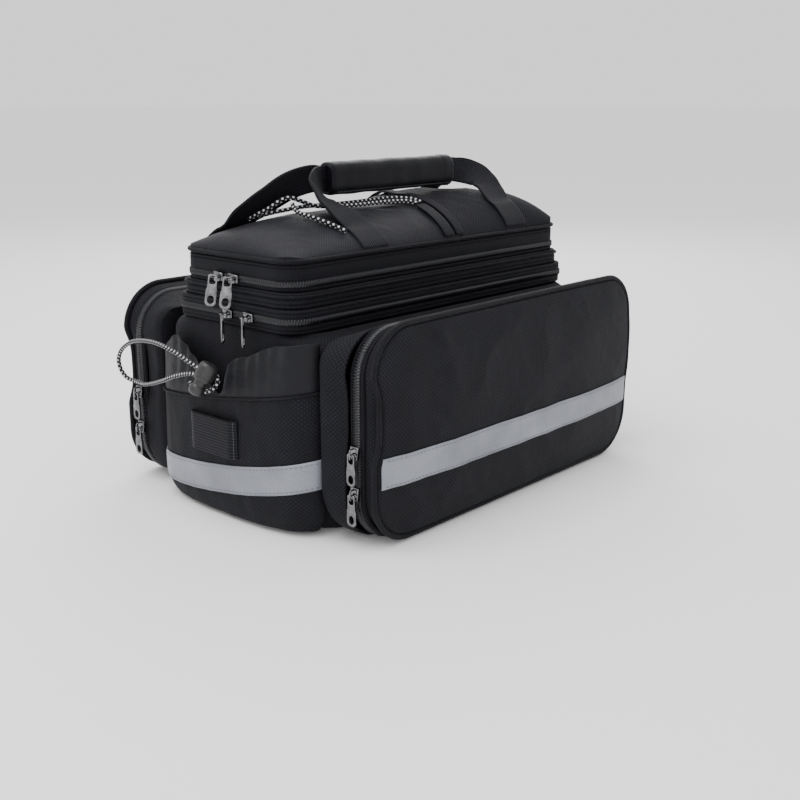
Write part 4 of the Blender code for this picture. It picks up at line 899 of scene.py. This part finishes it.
def makeGrip():
    left, right = handle["gripLeft"], handle["gripRight"]
    halfY, halfZ = handle["gripDeep"] / 2, handle["gripHigh"] / 2
    bend = halfY * 0.9
    legs = legsOf(halfZ, halfY, bend)

    def place(u, v):
        # the outside from end to end, then back through the slot
        if v < 0.8:
            t = v / 0.8
            x = left + (right - left) * t
            endIn = min(1.0, min(t, 1 - t) * (right - left) / (4 * mm))
            swell = 0.86 + 0.14 * sqrt(1 - (1 - endIn) ** 2)
            grow = swell + (0.03 if t > 0.92 else 0.0) - 0.008 * cos(t * pi * 6) * endIn
            z, y, _, _ = outlineAt(u, halfZ * grow, halfY * grow, bend * grow, legs)
            dent = 0.5 * mm * crease(x, y, z, 70, 2.2) * endIn
            return Vector((x, y * (1 + dent / halfY), handle["gripZ"] + z * (1 + dent / halfZ)))
        x = right - (right - left) * (v - 0.8) / 0.2
        z, y, _, _ = outlineAt(u, handle["slotHigh"], handle["slotDeep"], handle["slotCorner"], legs)
        return Vector((x, y, handle["gripZ"] + z))
    shape = gridShape(72, 110, place)
    bmesh.ops.bridge_loops(shape, edges=[e for e in shape.edges if e.is_boundary])
    bmesh.ops.recalc_face_normals(shape, faces=shape.faces)
    finishPiece("gripRoll", shape, "grip", "handle_grip", boxed=True)
    inset, z = 4 * mm, handle["gripZ"] - halfZ * 0.78
    low = [Vector((left + inset + (right - left - 2 * inset) * i / 59, -halfY, z)) for i in range(60)]
    lines = [(low, [Vector((0, -1, 0))] * 60, 3.0 * mm)]
    for t in (0.925, 0.985):
        points, ups = [], []
        for i in range(33):
            z, y, nz, ny = outlineAt(0.12 + 0.76 * i / 32, halfZ * 1.02, halfY * 1.03, bend, legs)
            points.append(Vector((left + (right - left) * t, y, handle["gripZ"] + z)))
            ups.append(Vector((0, ny, nz)))
        lines.append((points, ups, 3.0 * mm))
    stitches("gripStitches", lines, 2.2 * mm, 0.5 * mm, "thin_nylon")


makeStrap("near")
makeStrap("far")
makeGrip()
print("handle ready")


# Panniers
pannier = {
    "zipStart": 99.2, "zipEnd": 110.7, "front": 111.0, "edge": 120.5, "bulge": 8.0,
    "corner": 30.0, "backCorner": 15.0, "shift": 5.0, "waist": 5.0, "waistHeight": 84.0, "waistSpan": 30.0,
    "hiddenWaist": -0.5, "frontHalf": 144.2, "frontLow": 4.8, "frontHigh": 140.7, "pipingRadius": 2.0,
    "zipHalf": 145.0, "zipLow": 2.1, "zipHigh": 138.0, "zipLength": 0.83, "stripLow": 41.0,
    "stripWidth": 20.0, "wall": 2.0, "lowCorner": 20.0, "coilWidth": 6.4, "coilHigh": 1.44, "backShare": 0.25,
    "rim": 1.4, "dent": 2.6, "fold": 1.6, "stripThick": 0.8, "stripLift": 1.25, "stripDip": 0.5,
    "stripInset": 2.2, "sideShare": 0.14, "outline": (145.0, 70.0), "middle": 72.75, "reachX": 148.5,
    "reachZ": 72.25,
    # profile share, half length, low, high, depth, waist share, shift share, corner
    "tray": (
        (0.0, 148.0, 3.5, 130.0, 80.4, 0.0, 0.0, 15.0), (0.3, 150.0, 1.5, 132.0, 84.4, 0.0, 0.1, 17.0),
        (0.6, 149.6, 0.9, 134.8, 91.0, 0.3, 0.3, 23.0), (1.0, 148.0, 0.5, 138.0, 98.9, 0.6, 0.6, 30.0),
    ),
}
pannierLegs = legsOf(*pannier["outline"], pannier["corner"])


def pannierPull(side, x, height, half, waist):
    if -side * x > 0:
        waist *= pannier["hiddenWaist"]
    lean = ease(max(0.0, 1.0 - ((height - pannier["waistHeight"]) / pannier["waistSpan"]) ** 2))
    return waist * lean * ease((abs(x) - half + 45) / 40) * (1 if x > 0 else -1)


def pannierSpot(side, x, y, z, shift):
    return Vector((-side * x - side * shift, side * y, z)) * mm


def pannierAt(side, t, half, low, high, corner, y, waist, shift, out=0.0):
    x, z, nx, nz = outlineAt(t, half + out, (high - low) / 2 + out, corner + out, pannierLegs)
    height = (low + high) / 2 + z
    x -= pannierPull(side, x, height, half, waist)
    return pannierSpot(side, x, y, height, shift), Vector((-side * nx, 0.0, nz))


def panelDepth(side, x, z):
    u = min(1.0, abs(x / pannier["reachX"]))
    v = min(1.0, abs((z - pannier["middle"]) / pannier["reachZ"]))
    rim = (1 - u ** 10) * (1 - v ** 8)
    nearEnd = 0.3 + 0.7 * ease((side * x - 30) / 90)
    depth = pannier["edge"] + pannier["bulge"] * (1 - u ** 4) * (1 - v ** 4)
    depth -= pannier["dent"] * abs(crease(x * mm, z * mm, 0.0, 20, 4.0 + side)) * rim
    fold = pannier["fold"] * abs(crease((x + z) * mm, (z - x) * 0.35 * mm, 0.0, 48, 9.0 + side))
    return depth - fold * rim * nearEnd


def trayCorner(t, corner):
    # the two lower corners are rounder towards the back
    slack = (pannier["corner"] - corner) / (pannier["corner"] - pannier["backCorner"])
    return corner if t % 1.0 < 0.5 else corner + pannier["lowCorner"] * slack


def makePannier(label, side):
    shift, waist, bend = pannier["shift"], pannier["waist"], pannier["corner"]

    def tray(u, v):
        back = pannier["backShare"]
        if v < back:
            _, half, low, high, depth, _, _, corner = pannier["tray"][0]
            share, middle = v / back, (low + high) / 2
            low, high = (middle + (end - middle) * share for end in (low, high))
            return pannierAt(side, u, half * share, low, high, trayCorner(u, corner) * share,
                             depth, 0.0, 0.0)[0]
        t = (v - back) / (1 - back)
        _, half, low, high, depth, pulled, moved, corner = rowAt(pannier["tray"], t)
        point, normal = pannierAt(side, u, half, low, high, trayCorner(u, corner), depth,
                                  waist * pulled, shift * moved)
        dent = abs(crease(point.x, point.y, point.z, 45, 2.0 + side)) * t * (1 - t) * 4
        return point - normal * (dent if normal.z > -0.3 else 0.0) * mm
    finishPiece(label + "Tray", gridShape(260, 30, tray), "cloth", f"{label}_pannier_back",
                pannier["wall"] * mm, boxed=True)

    zipRing = (pannier["zipHalf"], pannier["zipLow"], pannier["zipHigh"], bend)
    middle = (pannier["zipStart"] + pannier["zipEnd"]) / 2
    section = tapeSection(pannier["zipStart"], pannier["zipEnd"], middle)
    section += ((-bands["wall"], pannier["zipEnd"]), (-bands["wall"], pannier["zipStart"]))

    def tape(u, v):
        out, y = alongSection(section, u)
        return pannierAt(side, v, *zipRing, y, 0.0, shift, out)[0]
    finishPiece(label + "ZipTape", gridShape(28, 360, tape), "tape", f"{label}_pannier_zipper", boxed=True)

    def ring(t):
        return (*pannierAt(side, t, *zipRing, middle, 0.0, shift, bands["coilOut"]), Vector((0, 1, 0)))
    coilPiece(label + "ZipCoil", ring, pannier["zipLength"], pannier["coilWidth"] * mm,
              pannier["coilHigh"] * mm)

    fh, fl, ft = pannier["frontHalf"], pannier["frontLow"], pannier["frontHigh"]

    def front(u, v):
        if v < pannier["sideShare"]:  # the short side wall behind the panel
            t = v / pannier["sideShare"]
            y = pannier["front"] + (pannier["edge"] - pannier["rim"] - pannier["front"]) * t
            top = pannier["zipHigh"] + 1.0
            top += (ft - top) * ease(t * 1.4)
            point, normal = pannierAt(side, u, fh, fl, top, bend, y, waist * (0.1 + 0.9 * ease(t)), shift)
            return point + normal * 0.5 * mm * sin(t * pi)
        share = cos((v - pannier["sideShare"]) / (1 - pannier["sideShare"]) * pi / 2)
        x, z, _, _ = outlineAt(u, fh * share, (ft - fl) / 2 * share, bend * share, pannierLegs)
        height = (fl + ft) / 2 + z
        pulled = x - pannierPull(side, x, height, fh * share, waist * share ** 3)
        rim = pannier["rim"] * max(0.0, (share - 0.985) / 0.015) ** 2
        return pannierSpot(side, pulled, panelDepth(side, x, height) - rim, height, shift)
    piece = finishPiece(label + "Panel", gridShape(320, 90, front), "cloth", f"{label}_pannier_front",
                        pannier["wall"] * mm, boxed=True)

    radius, depth = pannier["pipingRadius"], pannier["edge"] - 1.2

    def pipe(t):
        return pannierAt(side, t, fh, fl, ft, bend, depth, waist, shift, radius - 0.3)[0]
    ringTube(label + "Piping", pipe, radius, 10, f"{label}_pannier_piping")

    def strip(u, v):
        z = pannier["stripLow"] + pannier["stripWidth"] * u
        end = fh - pannier["stripInset"]
        x = end * (2 * v - 1)
        y = panelDepth(side, x, z) + pannier["stripLift"] - pannier["stripDip"] * abs(2 * u - 1) ** 8
        return pannierSpot(side, x - pannierPull(side, x, z, end, waist), y, z, shift)
    finishPiece(label + "Strip", gridShape(16, 200, strip, (0.02, 0.284)), "reflector",
                f"{label}_reflector", pannier["stripThick"] * mm)
    outward = Vector((0, side, 0))
    shares = [0.01 + 0.98 * i / 120 for i in range(121)]
    lines = [([strip(u, t) + outward * stripSeam["lift"] for t in shares], [outward] * 121, stripSeam["pitch"])
             for u in (0.09, 0.91)]
    stitches(label + "StripStitches", lines, stripSeam["length"], stripSeam["width"], "reflective_tape")


makePannier("near", -1)
makePannier("far", 1)
print("panniers ready")


# End pocket
pocket = {
    "depth": 16 * mm, "halfWidth": 75 * mm, "seam": 84 * mm, "slope": 0.135, "curve": 0.45, "tapeCurve": 0.8,
    "wall": 2.2 * mm, "gap": 0.3 * mm, "collarWall": 1.0 * mm, "collarHigh": 36 * mm, "collarLean": 5 * mm,
    "tuck": 8 * mm, "creased": 0.3, "lowest": 0.03, "end": 0.985, "mouth": 0.94,
    "tapeLow": 18.5 * mm, "tapeWidth": 20 * mm, "weltRadius": 1.0 * mm,
    # place along the wall, depth share, height share
    "profile": ((0.0, -0.40, 0.008), (0.14, 0.50, 0.008), (0.28, 0.86, 0.075), (0.45, 0.985, 0.25),
                (0.72, 1.0, 0.60), (1.0, 0.94, 1.0)),
    # across from the near side to the far side: share, height, lean
    "collar": (
        (-0.985, 0.86, 0.4), (-0.88, 0.88, 0.7), (-0.65, 0.90, 1.0), (-0.38, 0.76, 1.0), (-0.12, 0.60, 0.6),
        (-0.06, 0.12, 0.1), (0.06, 0.14, 0.2), (0.24, 0.46, 0.6), (0.44, 0.80, 0.9), (0.66, 1.10, 1.0),
        (0.80, 0.95, 0.7), (0.985, 0.66, 0.4),
    ),
    "loopWidth": 47 * mm, "loopHigh": 26 * mm, "loopLow": 46 * mm, "loopY": 2 * mm, "loopFace": -170 * mm,
    "loopWall": 1.5 * mm,
}


def pocketPlan(share, depth):
    y = share * pocket["halfWidth"]
    sine = max(0.0, abs(y) - (tub["halfY"] - tub["corner"])) / tub["corner"]
    cosine = sqrt(1.0 - sine * sine)
    x = -(tub["halfX"] - tub["corner"] * (1 - cosine))
    reach = pocket["gap"] + pocket["wall"] + (pocket["depth"] - pocket["wall"]) * depth * crownShare(share)
    return x - cosine * reach, y + sine * reach * (1 if y > 0 else -1)


def pocketSeam(y):
    return pocket["seam"] - pocket["slope"] * y + pocket["curve"] * y * y


def tapeLow(y):
    return pocket["tapeLow"] - pocket["slope"] * y + pocket["tapeCurve"] * y * y


def pocketFacing(share):
    ahead, behind = pocketPlan(min(1.0, share + 0.02), 1.0), pocketPlan(max(-1.0, share - 0.02), 1.0)
    return Vector((behind[1] - ahead[1], ahead[0] - behind[0], 0.0)).normalized()


def pocketFolds(point, share, level):
    x, y, z = point
    inside = (1 - abs(share) ** 6) * min(1.0, level * 4)
    low = max(0.0, 1.0 - level / pocket["creased"])
    fold = 1.1 * mm * abs(crease(x, y * 1.4, z * 0.5, 48, 7.7)) * inside
    fold += 2.6 * mm * abs(crease(x, y * 0.5, z * 1.6, 60, 2.9)) * ease(low) * inside
    fold += pocket["tuck"] * max(0.0, 1.0 - level / 0.24) ** 2 * abs(share) ** 2.5
    return point - pocketFacing(share) * fold


def pocketSurface(share, z):
    # the wall's outer face with its folds
    level = min(1.0, max(0.0, z / pocketSeam(pocketPlan(share, 1.0)[1])))
    depth = rowAt([(high, depth) for _, depth, high in pocket["profile"][1:]], level)[1]
    return pocketFolds(Vector((*pocketPlan(share, depth), z)), share, level)


def pocketWall(u, v):
    arc = radians(80)
    share = sin(arc * (2 * u - 1)) / sin(arc)
    _, depth, high = rowAt(pocket["profile"], v)
    z = max(high, pocket["lowest"]) * pocketSeam(pocketPlan(share, 1.0)[1])
    return pocketFolds(Vector((*pocketPlan(share, depth), z)), share, high)


def pocketCollar(u, v):
    share, depth = pocket["end"] * (2 * u - 1), pocket["mouth"]
    _, high, lean = rowAt(pocket["collar"], share)
    leant = depth - pocket["collarLean"] * lean / (pocket["depth"] - pocket["wall"])
    low = pocketSeam(pocketPlan(share, depth)[1]) + pocket["gap"]
    x, y = pocketPlan(share, depth + (leant - depth) * v ** 1.3)
    z = low + pocket["collarHigh"] * max(0.05, high) * v
    gather = 1.3 * mm * sin(share * 46 + 2.2 * crease(x, y, z, 20, 1.0)) * v * (1 - v * 0.3)
    ripple = 2.6 * mm * (abs(crease(y + 0.7 * (z - low), z * 0.5, 0.0, 55, 3.3)) - 0.35) * v
    ripple += 1.3 * mm * (abs(crease(y * 0.6, z * 1.4, 0.0, 85, 5.1)) - 0.3) * v
    return Vector((x, y, z)) + pocketFacing(share) * ((gather * 0.5 + ripple) * crownShare(share) - 0.5 * mm)


def pocketTape(u, v):
    share = pocket["end"] * (2 * v - 1)
    z = tapeLow(pocketPlan(share, 1.0)[1]) + pocket["tapeWidth"] * u
    return pocketSurface(share, z) + pocketFacing(share) * (1.25 * mm - 0.4 * mm * abs(2 * u - 1) ** 8)


def makePocket():
    turnOutward(finishPiece("pocketWall", gridShape(150, 70, pocketWall), "cloth", "end_pocket",
                            pocket["wall"] * 0.9, boxed=True))
    shape = gridShape(240, 34, pocketCollar)
    collar = turnOutward(finishPiece("collarCloth", shape, "nylon", "pocket_collar", pocket["collarWall"],
                                     boxed=True))
    shape = gridShape(14, 120, pocketTape, (0.017, 0.16))
    turnOutward(finishPiece("endStrip", shape, "reflector", "end_reflector", 0.8 * mm))
    facings = [pocketFacing(0.94 * (2 * i / 80 - 1)) for i in range(81)]
    lines = []
    for u in (0.1, 0.9):
        shares = [0.01 + 0.98 * i / 80 for i in range(81)]
        points = [pocketTape(u, t) + pocketFacing(0.94 * (2 * t - 1)) * stripSeam["lift"] for t in shares]
        lines.append((points, facings, stripSeam["pitch"]))
    stitches("endStripStitches", lines, stripSeam["length"], stripSeam["width"], "reflective_tape")
    points = []
    for i in range(121):
        share = 0.97 * (2 * i / 120 - 1)
        x, y = pocketPlan(share, pocket["mouth"])
        points.append(Vector((x, y, pocketSeam(y))) + pocketFacing(share) * 0.4 * mm)
    finishPiece("seamWelt", tubeShape(points, pocket["weltRadius"], 8), "piping", slotName="woven_cloth")


def makeLightLoop():
    half, face = pocket["loopWidth"] / 2, pocket["loopFace"]
    foot = pocketPlan(half / pocket["halfWidth"], 1.0)[0] - 0.6 * mm
    side = ((foot, half), (face + 1.0 * mm, half - 3.2 * mm), (face, half - 7 * mm))
    path = [Vector((x, -y, 0)) for x, y in side] + [Vector((face, 0, 0))]
    path += [Vector((x, y, 0)) for x, y in reversed(side)]
    line = smoothRoute(path, 1.0 * mm)

    def place(u, v):
        a, b, t = between(line, v * (len(line) - 1))
        point, z = a.lerp(b, t), pocket["loopLow"] + pocket["loopHigh"] * u
        return Vector((max(point.x, face), point.y + pocket["loopY"], z))
    shape = gridShape(20, len(line) * 2, place, (pocket["loopHigh"], pocket["loopWidth"]))
    turnOutward(finishPiece("lampLoop", shape, "webbing", "light_loop", pocket["loopWall"]))
    out = Vector((-1, 0, 0))
    shares = [i / 40 for i in range(41)]
    lines = [([place(t, (y + half) / (2 * half)) + out * 0.2 * mm for t in shares], [out] * 41, 1.5 * mm)
             for y in (-half + 2.4 * mm, half - 2.4 * mm)]
    stitches("loopStitches", lines, 1.2 * mm, 0.45 * mm, "webbing")


makePocket()
makeLightLoop()
print("end pocket ready")


# Cord lock
lock = {
    "middle": (-176.5, -5.5, 104.5), "axis": (-0.42, 0.30, -0.86), "radius": 6.6, "half": 6.25, "bore": 8.6,
    "buttonRadius": 5.4, "stem": 4.1, "neck": 0.6, "travel": 3.0, "stemLength": 6.0,
    # radius share and height share, from the closed end to the lip
    "barrel": ((0.0, -1.0), (0.45, -1.0), (0.62, -0.984), (0.80, -0.888), (0.93, -0.72), (0.99, -0.45),
               (1.0, -0.2), (1.0, 0.5), (0.975, 0.53), (0.93, 0.56), (0.93, 0.8),
               (0.90, 0.93), (0.84, 1.0), (0.72, 1.0)),
    # radius share and height share of the button's knob
    "knob": ((0.8, 0.0), (0.93, 0.25), (1.0, 0.6), (0.95, 0.9), (0.8, 1.13), (0.5, 1.3), (0.2, 1.35),
             (0.0, 1.36)),
}


def turnedPiece(name, profile, node, body):
    # the profile lists radius and place along the lock's axis, from pole to pole
    shape = bmesh.new()
    verts = [shape.verts.new((r * mm, 0, z * mm)) for r, z in profile]
    edges = [shape.edges.new(pair) for pair in zip(verts, verts[1:])]
    bmesh.ops.spin(shape, geom=verts + edges, cent=(0, 0, 0), axis=(0, 0, 1), angle=2 * pi, steps=40,
                   use_merge=True)
    bmesh.ops.remove_doubles(shape, verts=shape.verts, dist=0.00001)
    bmesh.ops.recalc_face_normals(shape, faces=shape.faces)
    axis = Vector(lock["axis"]).normalized()
    side = axis.orthogonal().normalized()
    turn = Matrix((side, axis.cross(side), axis)).transposed().to_4x4()
    turn.translation = Vector(lock["middle"]) * mm
    bmesh.ops.transform(shape, matrix=turn, verts=shape.verts)
    finishPiece(name, shape, "plastic", node, boxed=True, smooth=40, body=body)


def makeLock():
    r, h, b, stem = lock["radius"], lock["half"], lock["buttonRadius"], lock["stem"]
    barrel = [(r * wide, h * up) for wide, up in lock["barrel"]]
    barrel += [(r * 0.70, h - 0.4), (r * 0.70, h - lock["bore"]), (0.0, h - lock["bore"])]
    turnedPiece("lockBarrel", barrel, "cord_lock", "bag")
    tip = h + lock["neck"] + lock["travel"]
    foot = tip - lock["stemLength"]
    button = [(0.0, foot), (stem * 0.9, foot), (stem, foot + 0.3), (stem, tip - 0.2)]
    button += [(b * wide, tip + b * up) for wide, up in lock["knob"]]
    turnedPiece("lockButton", button, "cord_lock_button", "lock_button")


makeLock()
print("cord lock ready")


# Zip pulls
pulls = {
    "length": 21.0, "topWidth": 6.2, "endWidth": 7.6, "thick": 1.0, "bar": 1.0, "eyeLength": 5.4,
    "eyeWidth": 4.0, "slotLength": 5.6, "slotWidth": 4.4, "wire": 1.1, "rise": 3.6, "span": 6.6,
    "sliderLength": 9.0, "sliderWidth": 7.0, "sliderThick": 2.4, "hang": 1.35, "twist": 50, "round": 0.16,
    "sideX": 146.5, "sideY": 104.95,
    # name, reach, height, place across, twist, lean
    "lid": (("upper_left", 148.0, 161.5, 12, 1, 11), ("upper_right", 148.0, 161.5, -3, 1, 11),
            ("lower_left", 152.0, 138.8, -0.5, -1, 0), ("lower_right", 152.0, 138.8, -21, -1, 0)),
    # name, side, height
    "sides": (("near_upper", -1, 63.0), ("near_lower", -1, 36.3), ("far_upper", 1, 67.0),
              ("far_lower", 1, 40.3)),
}


def frameOf(origin, xAxis, yAxis):
    turned = Matrix((xAxis, yAxis, xAxis.cross(yAxis))).transposed().to_4x4()
    return Matrix.Translation(origin) @ turned


def signedPower(value, power):
    return abs(value) ** power * (1 if value > 0 else -1)


def flatTab():
    top = pulls["bar"] / 2
    end = top - pulls["length"]
    halfTop, halfEnd = pulls["topWidth"] / 2, pulls["endWidth"] / 2
    edge = [(halfTop * 0.55, top), (halfTop * 0.92, top - 0.5), (halfTop, top - 1.7), (halfTop, top - 7.4),
            (halfTop * 1.04, top - 8.8), (halfEnd * 0.97, top - 10.6), (halfEnd, top - 12),
            (halfEnd, end + 2.8), (halfEnd * 0.86, end + 1.1), (halfEnd * 0.5, end + 0.12), (0.0, end)]
    loops = [edge + [(-x, y) for x, y in reversed(edge[:-1])]]
    eye = (-pulls["bar"] / 2 - pulls["eyeLength"] / 2, pulls["eyeWidth"], pulls["eyeLength"], 0.5)
    slot = (end + 1.5 + pulls["slotLength"] / 2, pulls["slotWidth"], pulls["slotLength"], 0.9)
    for middle, wide, tall, power in (eye, slot):
        loops.append([(wide / 2 * signedPower(cos(2 * pi * i / 20), power),
                       middle + tall / 2 * signedPower(sin(2 * pi * i / 20), power)) for i in range(20)])
    flat = bpy.data.curves.new("tabOutline", "CURVE")
    flat.dimensions = "2D"
    flat.fill_mode = "BOTH"
    flat.extrude = (pulls["thick"] / 2 - pulls["round"]) * mm
    flat.bevel_depth = pulls["round"] * mm
    flat.offset = -pulls["round"] * mm
    flat.bevel_resolution = 2
    for points in loops:
        spline = flat.splines.new("POLY")
        spline.points.add(len(points) - 1)
        for node, (x, y) in zip(spline.points, points):
            node.co = (x * mm, y * mm, 0.0, 1.0)
        spline.use_cyclic_u = True
    guide = addToScene("tabOutline", flat)
    bpy.context.view_layer.update()
    mesh = bpy.data.meshes.new_from_object(guide.evaluated_get(bpy.context.evaluated_depsgraph_get()))
    bpy.data.objects.remove(guide)
    return mesh


def sliderShape():
    shape = bmesh.new()
    long, wide, thick = (pulls[k] * mm for k in ("sliderLength", "sliderWidth", "sliderThick"))
    made = bmesh.ops.create_cube(shape, size=1.0)["verts"]
    bmesh.ops.scale(shape, vec=(long, wide, thick), verts=made)
    bmesh.ops.translate(shape, vec=(0, 0, thick / 2), verts=made)
    bmesh.ops.subdivide_edges(shape, edges=shape.edges[:], cuts=3, use_grid_fill=True)
    for vert in shape.verts:
        t = vert.co.x / long
        vert.co.y *= 0.72 + 0.28 * ease((t + 0.5) * 1.4)
        if vert.co.z > thick * 0.6:
            vert.co.z -= 0.5 * mm * (abs(t) * 2) ** 3
    sharp = [edge for edge in shape.edges if edge.calc_face_angle(0) > radians(40)]
    bmesh.ops.bevel(shape, geom=sharp, offset=0.35 * mm, offset_type="OFFSET", segments=2,
                    profile=0.5, affect="EDGES", material=-1)
    half, top = pulls["span"] / 2, pulls["sliderThick"] + pulls["rise"]
    rise = ((half, pulls["sliderThick"] - 0.6), (half, top - 1.5), (half * 0.72, top - 0.15))
    bow = [(-x, z) for x, z in rise] + [(0, top)] + list(reversed(rise))
    route = smoothRoute([Vector((x, 0, z)) * mm for x, z in bow], 0.6 * mm)
    bail = tubeShape(route, pulls["wire"] / 2 * mm, 10)
    joined = bpy.data.meshes.new("bailWire")
    bail.to_mesh(joined)
    bail.free()
    shape.from_mesh(joined)
    return shape


def makePull(label, base, travel, across, tabPlace):
    place, kind = label.split("_")
    name = place + kind.capitalize()
    shape = sliderShape()
    bmesh.ops.transform(shape, matrix=frameOf(base, travel, across), verts=shape.verts)
    finishPiece(name + "Slider", shape, "metal", label + "_slider", smooth=45)
    shape = bmesh.new()
    shape.from_mesh(tabMesh)
    bmesh.ops.remove_doubles(shape, verts=shape.verts, dist=0.00001)
    bmesh.ops.recalc_face_normals(shape, faces=shape.faces)
    bmesh.ops.transform(shape, matrix=tabPlace, verts=shape.verts)
    finishPiece(name + "Tab", shape, "metal", label + "_pull", smooth=35, body=label + "_tab")


tabMesh = flatTab()
up, far = Vector((0, 0, 1)), Vector((0, 1, 0))
stand = pulls["sliderThick"] + pulls["rise"]
for label, reach, z, y, twist, lean in pulls["lid"]:
    base = Vector((-reach, y, z)) * mm
    pivot = Matrix.Translation(base + Vector((-stand * mm, 0, 0)))
    turn = Matrix.Rotation(radians(lean), 4, "Y") @ Matrix.Rotation(radians(twist * pulls["twist"]), 4, "Z")
    makePull(label, base, far, -up, pivot @ turn @ frameOf(up * pulls["hang"] * mm, far, up))
for label, side, z in pulls["sides"]:
    base = Vector((-pulls["sideX"] - side * pannier["shift"], side * pulls["sideY"], z)) * mm
    pivot = Matrix.Translation(base + Vector(((pulls["hang"] - stand) * mm, 0, 0)))
    makePull(label, base, up, far, pivot @ frameOf(Vector(), far, up))
print("zip pulls ready")
